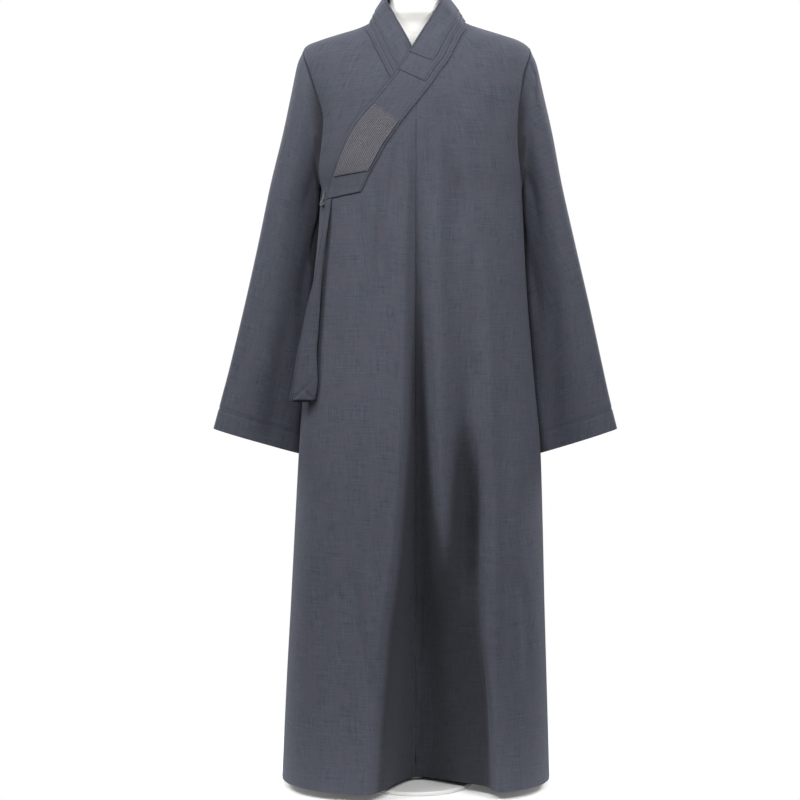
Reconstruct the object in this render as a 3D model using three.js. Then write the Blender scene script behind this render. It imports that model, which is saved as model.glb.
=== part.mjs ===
// A crossed-collar monk's robe worn on a limbless dress form, in millimetres, +Z up.
// The front faces -Y, so +X is the wearer's left. The origin is under the stand's pole, on the floor.
import * as THREE from "three";

// Driving dimensions.
const CLOTH = 1.2; // wall of the single cloth
const BAND = 1.8; // wall of the folded collar band
const LAYER = 1.0; // wall of each strip laid on the band
const SEAM = 0.3; // gap between pieces that are sewn together
const HEM = 14; // height of the hem above the floor
const NECK = 1372; // top of the shoulder line, at the side of the neck
const TUCK = 9; // how far a panel's edge runs in under the collar
const FORWARD = 12; // how far the garment stands in front of the pole
const LAP = 7; // how far the under front lies behind the overlap at the chest
const LAP_SIDE = 2.4; // the same at the side seam and in the skirt
const REST = 0.7; // gap between the collar and the cloth that it lies on

// Level sections of the robe's outer surface. Half widths go left (-X) and right (+X),
// half depths go front (-Y) and back, and power rounds or squares the section.
const BODY = [
  { z: 14, left: 238, right: 239, front: 147, back: 128, power: 2.3 },
  { z: 190, left: 230, right: 234, front: 143, back: 123, power: 2.3 },
  { z: 335, left: 222, right: 230, front: 139, back: 119, power: 2.3 },
  { z: 470, left: 215, right: 227, front: 135, back: 115, power: 2.3 },
  { z: 600, left: 208, right: 223, front: 130, back: 112, power: 2.3 },
  { z: 710, left: 200, right: 213, front: 125, back: 110, power: 2.3 },
  { z: 875, left: 185, right: 199, front: 118, back: 108, power: 2.3 },
  { z: 1010, left: 172, right: 192, front: 113, back: 106, power: 2.3 },
  { z: 1055, left: 170, right: 190, front: 111, back: 106, power: 2.3 },
  { z: 1110, left: 178, right: 191, front: 109, back: 105, power: 2.4 },
  { z: 1182, left: 179, right: 197, front: 105, back: 104, power: 2.4 },
  { z: 1235, left: 192, right: 203, front: 99, back: 101, power: 2.4 },
  { z: 1271, left: 202, right: 207, front: 91, back: 97, power: 2.3 },
  { z: 1298, left: 206, right: 210, front: 82, back: 91, power: 2.2 },
  { z: 1310, left: 203, right: 208, front: 77, back: 87, power: 2.1 },
  { z: 1321, left: 194, right: 199, front: 72, back: 83, power: 2.05 },
  { z: 1331, left: 170, right: 182, front: 66, back: 79, power: 2.0 },
  { z: 1341, left: 138, right: 152, front: 59, back: 75, power: 2.0 },
  { z: 1351, left: 105, right: 119, front: 51, back: 70, power: 2.0 },
  { z: 1361, left: 83, right: 91, front: 43, back: 63, power: 2.0 },
  { z: 1372, left: 72, right: 79, front: 34, back: 56, power: 2.0 },
];

// Vertical folds: at each height, where the trough runs, how wide it is on each side and how deep.
const FRONT_FOLDS = [
  [
    // the deep fold along the centre seam
    { z: 14, x: 6, left: 97, right: 155, depth: 134 },
    { z: 255, x: 5, left: 76, right: 120, depth: 98 },
    { z: 415, x: 3, left: 50, right: 68, depth: 62 },
    { z: 560, x: 2, left: 38, right: 47, depth: 41 },
    { z: 700, x: 2, left: 30, right: 38, depth: 27 },
    { z: 875, x: 1, left: 24, right: 30, depth: 14 },
    { z: 1055, x: 1, left: 19, right: 24, depth: 6 },
    { z: 1160, x: 0, left: 16, right: 20, depth: 0 },
  ],
  [
    // the second fold, beside the seam on the wearer's left
    { z: 14, x: 84, left: 46, right: 34, depth: 0 },
    { z: 255, x: 81, left: 46, right: 34, depth: 16 },
    { z: 415, x: 79, left: 44, right: 34, depth: 32 },
    { z: 560, x: 77, left: 42, right: 34, depth: 24 },
    { z: 700, x: 73, left: 38, right: 32, depth: 15 },
    { z: 875, x: 68, left: 34, right: 30, depth: 8 },
    { z: 1055, x: 65, left: 30, right: 28, depth: 3 },
    { z: 1160, x: 64, left: 26, right: 26, depth: 0 },
  ],
  [
    // the shallow fold on the overlap
    { z: 14, x: -128, left: 40, right: 34, depth: 5 },
    { z: 415, x: -114, left: 38, right: 32, depth: 8 },
    { z: 650, x: -86, left: 32, right: 28, depth: 6 },
    { z: 910, x: -62, left: 26, right: 22, depth: 5 },
    { z: 1090, x: -50, left: 22, right: 18, depth: 0 },
  ],
];
const BACK_FOLDS = [
  [
    { z: 14, x: -98, left: 62, right: 52, depth: 30 },
    { z: 459, x: -92, left: 46, right: 40, depth: 16 },
    { z: 829, x: -84, left: 34, right: 30, depth: 5 },
    { z: 1009, x: -80, left: 30, right: 26, depth: 0 },
  ],
  [
    { z: 14, x: 4, left: 44, right: 48, depth: 24 },
    { z: 459, x: 2, left: 36, right: 36, depth: 17 },
    { z: 829, x: 0, left: 28, right: 28, depth: 8 },
    { z: 1129, x: 0, left: 24, right: 24, depth: 0 },
  ],
  [
    { z: 14, x: 106, left: 52, right: 60, depth: 34 },
    { z: 459, x: 98, left: 42, right: 44, depth: 18 },
    { z: 829, x: 88, left: 32, right: 32, depth: 5 },
    { z: 1009, x: 84, left: 28, right: 28, depth: 0 },
  ],
];

// The armhole, as an ellipse in height and depth on the body's side.
const ARMHOLE = { middle: 1191, halfHeight: 124, halfDepth: 52 };
const ARMHOLE_STEPS = 12; // along half of the armhole

// The sleeve from armhole to cuff. Each row is a ring: its outer edge's x on the wearer's left and right
// and its z, its inner edge's z and gap to the body, both edges' y, its half depth, and how far its
// front is drawn in.
const SLEEVE = [
  { left: 209, right: 204, outZ: 1306, inZ: 1056, gap: 1.5, outY: -13, inY: -9, depth: 54, drawn: 0.1 },
  { left: 217, right: 212, outZ: 1286, inZ: 1045, gap: 2.5, outY: -14, inY: 2, depth: 57, drawn: 0.22 },
  { left: 228, right: 222, outZ: 1237, inZ: 1021, gap: 4, outY: -14, inY: 16, depth: 57, drawn: 0.3 },
  { left: 245, right: 238, outZ: 1161, inZ: 985, gap: 5.5, outY: -13, inY: 26, depth: 53, drawn: 0.3 },
  { left: 262, right: 260, outZ: 1071, inZ: 935, gap: 7, outY: -12, inY: 31, depth: 48, drawn: 0.24 },
  { left: 286, right: 282, outZ: 966, inZ: 869, gap: 7, outY: -10, inY: 35, depth: 43, drawn: 0.16 },
  { left: 311, right: 306, outZ: 859, inZ: 786, gap: 7, outY: -9, inY: 38, depth: 39, drawn: 0.08 },
  { left: 334.5, right: 332, outZ: 751, inZ: 690, gap: 7, outY: -8, inY: 41, depth: 36, drawn: 0.04 },
  { left: 348, right: 348, outZ: 690, inZ: 636, gap: 7, outY: -8, inY: 43, depth: 34, drawn: 0.02 },
  { left: 361.5, right: 362.5, outZ: 636, inZ: 584, gap: 7, outY: -8, inY: 44, depth: 33, drawn: 0 },
];

// The collar on the overlap's side, from its free end to the middle of the back: the neck edge, the
// outer edge, the outer edge's angle where it lies behind the shoulder, and how closely the row lies
// on the chest (1) or stands round the neck (0).
const COLLAR_LEFT = [
  { inX: -158, inY: -66, inZ: 1043, outX: -96, outZ: 1054, chest: 1 },
  { inX: -149, inY: -82, inZ: 1081, outX: -78, outZ: 1091, chest: 1 },
  { inX: -137, inY: -97, inZ: 1117, outX: -66, outZ: 1112, chest: 1 },
  { inX: -122, inY: -105, inZ: 1151, outX: -54, outZ: 1134, chest: 1 },
  { inX: -102, inY: -112, inZ: 1183, outX: -40, outZ: 1154, chest: 1 },
  { inX: -77, inY: -116, inZ: 1211, outX: -26, outZ: 1175, chest: 1 },
  { inX: -54, inY: -115, inZ: 1239, outX: -2, outZ: 1206, chest: 1 },
  { inX: -31, inY: -112, inZ: 1268, outX: 26, outZ: 1241, chest: 1 },
  { inX: -19, inY: -108, inZ: 1289, outX: 43, outZ: 1267, chest: 1 },
  { inX: -7, inY: -102, inZ: 1310, outX: 55, outZ: 1282, chest: 0.92 },
  { inX: 9, inY: -89, inZ: 1337, outX: 68, outZ: 1307, chest: 0.6 },
  { inX: 26, inY: -71, inZ: 1366, outX: 79, outZ: 1330, chest: 0.25 },
  { inX: 42, inY: -51, inZ: 1396, outX: 88, outZ: 1345, chest: 0 },
  { inX: 47, inY: -30, inZ: 1411, outX: 92, outZ: 1356, outAngle: 73, chest: 0 },
  { inX: 50, inY: -8, inZ: 1419, outX: 92, outZ: 1363, outAngle: 90, chest: 0 },
  { inX: 48, inY: 15, inZ: 1423, outX: 77, outZ: 1365, outAngle: 116, chest: 0 },
  { inX: 31, inY: 35, inZ: 1425, outX: 44, outZ: 1365, outAngle: 146, chest: 0 },
  { inX: 0, inY: 43, inZ: 1426, outX: 0, outZ: 1364, outAngle: 180, chest: 0 },
];
// The collar on the under front's side, from its hidden end to the middle of the back.
const COLLAR_RIGHT = [
  { inX: 38, inY: -112, inZ: 1228, outX: -10, outZ: 1188, chest: 1 },
  { inX: 14, inY: -108, inZ: 1272, outX: -29, outZ: 1225, chest: 1 },
  { inX: -8, inY: -100, inZ: 1315, outX: -48, outZ: 1263, chest: 0.95 },
  { inX: -30, inY: -80, inZ: 1356, outX: -67, outZ: 1302, chest: 0.6 },
  { inX: -42, inY: -66, inZ: 1380, outX: -80, outZ: 1330, chest: 0.25 },
  { inX: -51, inY: -50, inZ: 1398, outX: -87, outZ: 1344, chest: 0 },
  { inX: -47, inY: -30, inZ: 1411, outX: -87, outZ: 1354, outAngle: -73, chest: 0 },
  { inX: -49, inY: -8, inZ: 1419, outX: -83, outZ: 1363, outAngle: -90, chest: 0 },
  { inX: -47, inY: 15, inZ: 1423, outX: -70, outZ: 1365, outAngle: -116, chest: 0 },
  { inX: -31, inY: 35, inZ: 1425, outX: -42, outZ: 1365, outAngle: -146, chest: 0 },
  { inX: 0, inY: 43, inZ: 1426, outX: 0, outZ: 1364, outAngle: -180, chest: 0 },
];
const BAND_SHARES = [0, 0.17, 0.34, 0.51, 0.677, 0.839, 1]; // the strips end at the last shares
const SECOND_STRIP_END = 7; // rows from the collar's free end
const THIRD_STRIP_END = 8.5;
const QUILTED = { from: 1, to: 5 }; // rows that the quilted patch covers

// The hanging tie: its left and right edges, its front and how far its sides are folded back.
const TIE = [
  { z: 1001, left: -164, right: -154, y: -82, fold: 5 },
  { z: 968, left: -169, right: -159, y: -84, fold: 5 },
  { z: 931, left: -174, right: -164, y: -85, fold: 5 },
  { z: 897, left: -180, right: -166, y: -86, fold: 5 },
  { z: 863, left: -188, right: -168, y: -87, fold: 5 },
  { z: 813, left: -198, right: -171, y: -88, fold: 5 },
  { z: 771, left: -206, right: -174, y: -90, fold: 5 },
  { z: 723, left: -212, right: -172, y: -92, fold: 4 },
  { z: 690, left: -219, right: -177, y: -92, fold: 3 },
];
const TIE_BEHIND = { x: -5, nearY: 2.3, farY: 7, z: -3 }; // the second tie's shift, growing downwards

const KNOT_RADIUS = 6;
const CORD_RADIUS = 1.6;

// The dress form under the robe. Above its last row it follows the robe's shoulders from inside.
const FORM = [
  { z: 710, left: 146, right: 150, front: 78, back: 90, power: 2.2 },
  { z: 800, left: 150, right: 155, front: 85, back: 92, power: 2.2 },
  { z: 910, left: 141, right: 146, front: 89, back: 84, power: 2.2 },
  { z: 1000, left: 136, right: 141, front: 90, back: 80, power: 2.2 },
  { z: 1100, left: 143, right: 150, front: 91, back: 86, power: 2.3 },
  { z: 1182, left: 150, right: 158, front: 90, back: 90, power: 2.3 },
  { z: 1235, left: 170, right: 174, front: 84, back: 90, power: 2.3 },
];
const FORM_LOW = 1208;
const FORM_JOIN = 1293; // between these heights the form takes up the shoulders' shape
const FORM_SEAT = 2.8; // gap to the cloth that rests on it
const FORM_CHEST_INSET = 13; // extra depth under the collar's layers
const FORM_NECK = [
  { z: 1360, half: 75, front: 40, back: 54 },
  { z: 1368, half: 65, front: 44, back: 49 },
  { z: 1378, half: 60, front: 48, back: 44 },
  { z: 1392, half: 49, front: 47, back: 40 },
  { z: 1411, half: 46, front: 45, back: 38 },
  { z: 1478, half: 46, front: 45, back: 38 },
  { z: 1486, half: 41, front: 40, back: 33 },
];
const POLE_RADIUS = 12.5;
const BASE_RADIUS = 105;
const BASE_HEIGHT = 7;

const DEG = Math.PI / 180;
const lerp = (a, b, t) => a + (b - a) * t;
const clamp01 = (t) => Math.min(1, Math.max(0, t));
const ease = (t) => clamp01(t) ** 2 * (3 - 2 * clamp01(t));
const mean = (a, b) => (a + b) / 2;

// A smooth curve without overshoot through one column of a table, read at a value of its key column.
function column(table, key, name, at) {
  const last = table.length - 1;
  if (at <= table[0][key]) return table[0][name];
  if (at >= table[last][key]) return table[last][name];
  const i = table.findIndex((row, k) => k < last && at <= table[k + 1][key]);
  const span = (k) => table[k + 1][key] - table[k][key];
  const slope = (k) => (table[k + 1][name] - table[k][name]) / span(k);
  const tangent = (k) => {
    if (k === 0) return slope(0);
    if (k === last) return slope(last - 1);
    const [before, after] = [slope(k - 1), slope(k)];
    return before * after <= 0 ? 0 : (2 * before * after) / (before + after);
  };
  const t = (at - table[i][key]) / span(i);
  const [t2, t3] = [t * t, t * t * t];
  return (
    (2 * t3 - 3 * t2 + 1) * table[i][name] +
    (t3 - 2 * t2 + t) * span(i) * tangent(i) +
    (3 * t2 - 2 * t3) * table[i + 1][name] +
    (t3 - t2) * span(i) * tangent(i + 1)
  );
}

const bell = (u) => (Math.abs(u) < 1 ? 0.5 + 0.5 * Math.cos(Math.PI * u) : 0);

function foldDepth(folds, x, z) {
  let depth = 0;
  for (const fold of folds) {
    const away = x - column(fold, "z", "x", z);
    const width = column(fold, "z", away < 0 ? "left" : "right", z);
    depth += column(fold, "z", "depth", z) * bell(away / width);
  }
  return depth;
}

// A point of a level section: the angle is 0 at the front and 90 on the wearer's left.
function sectionPoint(table, angle, z, folds) {
  const read = (name) => column(table, "z", name, z);
  const [across, ahead] = [Math.sin(angle * DEG), Math.cos(angle * DEG)];
  const half = read(across > 0 ? "right" : "left");
  const deep = read(ahead > 0 ? "front" : "back");
  const power = read("power");
  const r = ((Math.abs(across) / half) ** power + (Math.abs(ahead) / deep) ** power) ** (-1 / power);
  const x = r * across;
  let y = -r * ahead;
  if (folds) {
    const inside = 1 - Math.min(1, Math.abs(x) / half) ** 4;
    if (ahead > 0) y += inside * foldDepth(FRONT_FOLDS, x, z);
    else y -= inside * foldDepth(BACK_FOLDS, x, z);
  }
  return new THREE.Vector3(x, y - FORWARD, z);
}

const bodyPoint = (angle, z) => sectionPoint(BODY, angle, z, true);

function bodyNormal(angle, z) {
  const [stepAngle, stepZ] = [0.4, 1.5];
  const low = Math.max(HEM, z - stepZ);
  const high = Math.min(NECK, z + stepZ);
  const round = bodyPoint(angle + stepAngle, z).sub(bodyPoint(angle - stepAngle, z));
  const up = bodyPoint(angle, high).sub(bodyPoint(angle, low));
  return round.cross(up).normalize();
}

const bodyLifted = (angle, z, lift) => bodyPoint(angle, z).addScaledVector(bodyNormal(angle, z), lift);

// Finds where an increasing function reaches a value.
function solve(f, target, low, high) {
  for (let i = 0; i < 40; i++) {
    const middle = mean(low, high);
    if (f(middle) < target) low = middle;
    else high = middle;
  }
  return mean(low, high);
}

const angleAtX = (x, z) => solve((angle) => bodyPoint(angle, z).x, x, -90, 90);

// The angle of the armhole's front or back edge at a height, on the wearer's left (1) or right (-1).
function armholeAngle(z, side, isFront, inset = 0) {
  const away = (z - ARMHOLE.middle) / (ARMHOLE.halfHeight - inset);
  if (Math.abs(away) >= 1) return 90 * side;
  const depth = (ARMHOLE.halfDepth - inset) * Math.sqrt(1 - away * away);
  const y = (angle) => bodyPoint(angle * side, z).y + FORWARD;
  return side * (isFront ? solve(y, -depth, 20, 90) : solve(y, depth, 90, 160));
}

// Spreads columns evenly along a flattened section instead of evenly in angle.
const FLATNESS = 1.9;
const toTurn = (angle) => Math.atan2(Math.sin(angle * DEG), FLATNESS * Math.cos(angle * DEG)) / DEG;
const toAngle = (turn) => Math.atan2(FLATNESS * Math.sin(turn * DEG), Math.cos(turn * DEG)) / DEG;

// Half a seam gap as an angle.
function seamAngle(angle, z) {
  const p = sectionPoint(BODY, angle, z, false);
  return SEAM / 2 / Math.hypot(p.x, p.y + FORWARD) / DEG;
}

// A closed wall from two grids of points, the outer one and the inner one.
// Rows run up and columns run to the right as seen from outside; a ring joins its last column to its first.
function wall(outer, inner, ring = false) {
  const [rows, columns] = [outer.length, outer[0].length];
  const points = [...outer.flat(), ...inner.flat()];
  const index = [];
  const at = (side, i, j) => side * rows * columns + i * columns + (j % columns);
  const quad = (a, b, c, d) => index.push(a, b, c, a, c, d);
  const across = ring ? columns : columns - 1;
  for (let i = 0; i + 1 < rows; i++)
    for (let j = 0; j < across; j++) {
      const [a, b] = [at(0, i, j), at(0, i, j + 1)];
      const [c, d] = [at(0, i + 1, j + 1), at(0, i + 1, j)];
      quad(a, b, c, d);
      const under = rows * columns;
      index.push(a + under, c + under, b + under, a + under, d + under, c + under);
    }
  for (let j = 0; j < across; j++) {
    quad(at(1, 0, j), at(1, 0, j + 1), at(0, 0, j + 1), at(0, 0, j));
    quad(at(0, rows - 1, j), at(0, rows - 1, j + 1), at(1, rows - 1, j + 1), at(1, rows - 1, j));
  }
  if (!ring)
    for (let i = 0; i + 1 < rows; i++) {
      quad(at(1, i, 0), at(0, i, 0), at(0, i + 1, 0), at(1, i + 1, 0));
      const end = columns - 1;
      quad(at(0, i, end), at(1, i, end), at(1, i + 1, end), at(0, i + 1, end));
    }
  const geometry = new THREE.BufferGeometry();
  geometry.setAttribute("position", new THREE.Float32BufferAttribute(points.flatMap((p) => p.toArray()), 3));
  geometry.setIndex(index);
  return geometry;
}

// The points of a grid moved along its own normals.
function moved(grid, distance, ring = false) {
  const [rows, columns] = [grid.length, grid[0].length];
  return grid.map((row, i) =>
    row.map((p, j) => {
      const below = grid[Math.max(0, i - 1)][j];
      const above = grid[Math.min(rows - 1, i + 1)][j];
      const before = ring ? grid[i][(j + columns - 1) % columns] : grid[i][Math.max(0, j - 1)];
      const after = ring ? grid[i][(j + 1) % columns] : grid[i][Math.min(columns - 1, j + 1)];
      const normal = after.clone().sub(before).cross(above.clone().sub(below)).normalize();
      return p.clone().addScaledVector(normal, distance);
    }),
  );
}

// Row heights shared by every panel, so that their seams meet point for point.
const FIXED_ROWS = [HEM, 100, 190, 280, 370, 460, 550, 640, 730, 820, 905, 980, 1033];
const SHARED_TOP = FIXED_ROWS[FIXED_ROWS.length - 1];
const armholeRows = Array.from(
  { length: ARMHOLE_STEPS + 1 },
  (_, k) => ARMHOLE.middle - ARMHOLE.halfHeight * Math.cos((Math.PI * k) / ARMHOLE_STEPS),
);
const UPPER_ROWS = [...armholeRows, 1322, 1329, 1336, 1344, 1353, 1362, NECK];

// The angle that columns follow beside the armhole, without the armhole's own round edge.
function softSide(z) {
  const below = ease((z - 830) / (ARMHOLE.middle - 830));
  const above = ease((z - ARMHOLE.middle) / (NECK - 30 - ARMHOLE.middle));
  return 24 * (z < ARMHOLE.middle ? below : 1 - above);
}

// One body panel from its first to its last edge, each an angle over height.
// top gives the height of its upper edge over the angle, and lift how far it lies off the body's surface.
// sides holds -1 or 1 at an edge that follows an armhole's front, -2 or 2 for its back, else 0.
function panel(shares, firstAngle, lastAngle, sides, top, lift, upper = UPPER_ROWS) {
  const soft = (z, side) => Math.sign(side) * (Math.abs(side) === 1 ? 90 - softSide(z) : 90 + softSide(z));
  const angleAt = (share, z) => {
    const [first, last] = [toTurn(firstAngle(z)), toTurn(lastAngle(z))];
    const softFirst = sides[0] ? toTurn(soft(z, sides[0])) : first;
    const softLast = sides[1] ? toTurn(soft(z, sides[1])) : last;
    const edges = (first - softFirst) * (1 - share) ** 5 + (last - softLast) * share ** 5;
    return toAngle(lerp(softFirst, softLast, share) + edges);
  };
  const topOf = (share) =>
    solve((z) => z - top(angleAt(share, z)), 0, SHARED_TOP, NECK);
  const tops = shares.map(topOf);
  const heights = (j) => [
    ...FIXED_ROWS,
    ...upper.map((z) => lerp(SHARED_TOP, tops[j], (z - SHARED_TOP) / (NECK - SHARED_TOP))),
  ];
  const columns = shares.map((share, j) => heights(j).map((z) => ({ angle: angleAt(share, z), z })));
  const grid = (inward) =>
    columns[0].map((_, i) =>
      columns.map((c) => bodyLifted(c[i].angle, c[i].z, lift(c[i].angle, c[i].z) - inward)),
    );
  return wall(grid(0), grid(CLOTH));
}

const sideAngle = (side, isFront, inset) => (z) => {
  const angle = armholeAngle(z, side, isFront);
  return angle + inset * seamAngle(angle, z);
};
const centreAngle = (angle, inset) => (z) => angle + inset * seamAngle(angle, z);
// The angle of the collar's outer edge in a row of its table.
const edgeAngle = (row) => row.outAngle ?? angleAtX(row.outX, row.outZ);

// A panel's top edge runs a little in under the collar's outer edge.
function neckline(collar, ends = []) {
  const edge = [...collar.map((row) => ({ angle: edgeAngle(row), z: row.outZ })), ...ends];
  edge.sort((a, b) => a.angle - b.angle);
  return (angle) => column(edge, "angle", "z", angle) + TUCK;
}

// Shares of a panel's width, closer together where the folds are steep.
const FRONT_SHARES = [0, 0.04, 0.09, 0.15, 0.22, 0.28, 0.34, 0.42, 0.52, 0.63, 0.75, 0.88, 1];
const BACK_SHARES = [0, 0.1, 0.2, 0.3, 0.4, 0.5, 0.6, 0.7, 0.8, 0.9, 1];
const flipped = (shares) => shares.map((share) => 1 - share).reverse();

// How far the under front lies behind the body's surface.
function lapDepth(angle, z) {
  const towardMiddle = ease((75 + angle) / 30);
  const belowArmhole = 1 - ease((z - 1059) / 30);
  const atChest = lerp(LAP_SIDE, LAP, ease((z - 910) / 120));
  const nearNeck = 1 - ease((z - 1288) / 60);
  return lerp(LAP_SIDE * belowArmhole, atChest, towardMiddle) * lerp(0.1, 1, nearNeck);
}

const frontLeft = () =>
  panel(
    FRONT_SHARES,
    centreAngle(0, 1),
    sideAngle(1, true, -1),
    [0, 1],
    neckline(COLLAR_LEFT),
    () => 0,
  );

const overlap = () =>
  panel(
    flipped(FRONT_SHARES),
    sideAngle(-1, true, 1),
    centreAngle(0, -1),
    [-1, 0],
    neckline(COLLAR_LEFT, [{ angle: -70, z: 1041 }, { angle: -90, z: 1039 }]),
    () => 0,
    UPPER_ROWS.filter((_, k) => k % 2 === 0),
  );

// The under front, from the wearer's right side to just past the middle.
const frontRight = () =>
  panel(
    [...flipped(FRONT_SHARES), 1.04, 1.09, 1.15],
    sideAngle(-1, true, 1),
    centreAngle(0, 0),
    [-1, 0],
    neckline(COLLAR_RIGHT, [{ angle: 20, z: 1122 }]),
    (angle, z) => -lapDepth(angle, z),
  );

const backLeft = () =>
  panel(
    flipped(BACK_SHARES),
    sideAngle(1, false, 1),
    centreAngle(180, -1),
    [2, 0],
    neckline(COLLAR_LEFT),
    () => 0,
  );

const backRight = () =>
  panel(
    BACK_SHARES,
    centreAngle(-180, 1),
    sideAngle(-1, false, -1),
    [0, -2],
    neckline(COLLAR_RIGHT),
    () => 0,
  );

// The x of the body's side at a height and a depth behind the front, without folds.
function bodySideX(side, y, z) {
  const angle = solve((a) => sectionPoint(BODY, a * side, z, false).y, y, 60, 150);
  return Math.abs(sectionPoint(BODY, angle * side, z, false).x);
}

// One sleeve. Angles round a ring start at its outer edge and pass its front first.
function sleeve(side) {
  const steps = 2 * ARMHOLE_STEPS;
  // The cloth carries on from the body at the shoulder and turns down over its own edge at the armpit.
  const armholeRing = (depth) =>
    Array.from({ length: steps }, (_, k) => {
      const round = (2 * Math.PI * k) / steps;
      const low = (1 - Math.cos(round)) / 2;
      const inset = SEAM + depth * low;
      const z = ARMHOLE.middle + (ARMHOLE.halfHeight - inset) * Math.cos(round);
      return bodyLifted(armholeAngle(z, side, k < ARMHOLE_STEPS, inset), z, SEAM * low - depth * (1 - low));
    });
  const ring = (row) => {
    const inX = bodySideX(side, row.inY, row.inZ) + row.gap;
    const outX = side > 0 ? row.left : row.right;
    const middle = new THREE.Vector3(mean(outX, inX), mean(row.outY, row.inY), mean(row.outZ, row.inZ));
    const out = new THREE.Vector3(outX, row.outY, row.outZ).sub(middle);
    return Array.from({ length: steps }, (_, k) => {
      const round = (2 * Math.PI * k) / steps;
      const drawn = 1 - row.drawn * bell((round / Math.PI - 0.68) / 0.3);
      const depth = -row.depth * Math.sin(round) * (round < Math.PI ? drawn : 1);
      const p = middle.clone().addScaledVector(out, Math.cos(round));
      return new THREE.Vector3(side * p.x, p.y + depth, p.z);
    });
  };
  const rings = SLEEVE.map(ring);
  const outer = [armholeRing(0), ...rings].reverse();
  const turned = side > 0 ? outer.map((r) => [...r].reverse()) : outer;
  const inner = moved(turned, -CLOTH, true);
  const top = armholeRing(CLOTH);
  inner[inner.length - 1] = side > 0 ? top.reverse() : top;
  return wall(turned, inner, true);
}

// A point of the chest's surface found by its x and height.
function chestPoint(x, z, lift, isUnder) {
  const angle = angleAtX(x, z);
  return bodyLifted(angle, z, lift - (isUnder ? lapDepth(angle, z) : 0));
}

// The collar band's outer surface: rows along the table, columns from the neck edge to the outer edge.
function collarGrid(table, rowList, isUnder) {
  const side = isUnder ? -1 : 1;
  const rows = table.map((r, k) => ({ ...r, row: k, outAngle: edgeAngle(r) }));
  const band = rowList.map((row) => {
    const read = (name) => column(rows, "row", name, row);
    const [angle, height, chest] = [read("outAngle"), read("outZ"), read("chest")];
    const lift = BAND + REST * (2 - chest);
    const depth = isUnder ? lapDepth(angle, height) : 0;
    const outer = bodyLifted(angle, height, lift - depth);
    const neck = new THREE.Vector3(read("inX"), read("inY"), read("inZ"));
    return BAND_SHARES.map((share) => {
      const p = neck.clone().lerp(outer, share);
      if (chest > 0) {
        const flatX = lerp(read("inX"), read("outX"), share);
        p.lerp(chestPoint(flatX, lerp(read("inZ"), height, share), lift, isUnder), chest);
      }
      return p;
    });
  });
  for (const p of band[band.length - 1]) p.x = (side * SEAM) / 2;
  return isUnder ? band.map((r) => [...r].reverse()) : band;
}

// A piece of the collar: the band itself, or a strip laid on it over some rows and columns.
function collarPiece(band, layer, thickness, fromRow, columns) {
  const under = layer * (LAYER + SEAM);
  const cut = (grid) => grid.slice(fromRow).map((r) => r.slice(columns[0], columns[1]));
  const flat = (grid) => {
    for (const p of grid[grid.length - 1]) p.x = band[band.length - 1][0].x;
    return grid;
  };
  return wall(cut(flat(moved(band, under))), cut(flat(moved(band, under - thickness))));
}

// A row of the tie from its left edge to its right one, the left edge folded back.
const TIE_SHARES = [0, 0.2, 0.4, 0.6, 0.8, 1];
function tieRow(row) {
  return TIE_SHARES.map((share) => {
    const back = row.fold * (1 - share) ** 2;
    return new THREE.Vector3(lerp(row.left, row.right, share), row.y + back, row.z);
  });
}

// The outer tie starts just under the collar's free end, where it is sewn on.
function outerTie(end) {
  const top = TIE_SHARES.map((share) => end[0].clone().lerp(end[1], share));
  for (const p of top) p.z -= SEAM + 0.1;
  const grid = [top, ...TIE.map(tieRow)].reverse();
  return wall(grid, moved(grid, -CLOTH));
}

// The inner tie starts behind the outer one and comes out from under it towards its end.
function innerTie() {
  const grid = TIE.map((row, i) => {
    const t = i / (TIE.length - 1);
    const behind = lerp(TIE_BEHIND.nearY, TIE_BEHIND.farY, t);
    const shift = new THREE.Vector3(TIE_BEHIND.x * t, behind, TIE_BEHIND.z * t);
    return tieRow(row).map((p) => p.add(shift));
  }).reverse();
  return wall(grid, moved(grid, -CLOTH));
}

// A closed loft through level rings, with flat ends.
function loft(rings) {
  const [rows, columns] = [rings.length, rings[0].length];
  const points = rings.flat();
  const index = [];
  for (let i = 0; i + 1 < rows; i++)
    for (let j = 0; j < columns; j++) {
      const next = (j + 1) % columns;
      const [a, b] = [i * columns + j, i * columns + next];
      index.push(a, b, b + columns, a, b + columns, a + columns);
    }
  for (let j = 1; j + 1 < columns; j++) {
    index.push(0, j + 1, j);
    const top = (rows - 1) * columns;
    index.push(top, top + j, top + j + 1);
  }
  const geometry = new THREE.BufferGeometry();
  geometry.setAttribute("position", new THREE.Float32BufferAttribute(points.flatMap((p) => p.toArray()), 3));
  geometry.setIndex(index);
  return geometry;
}

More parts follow.
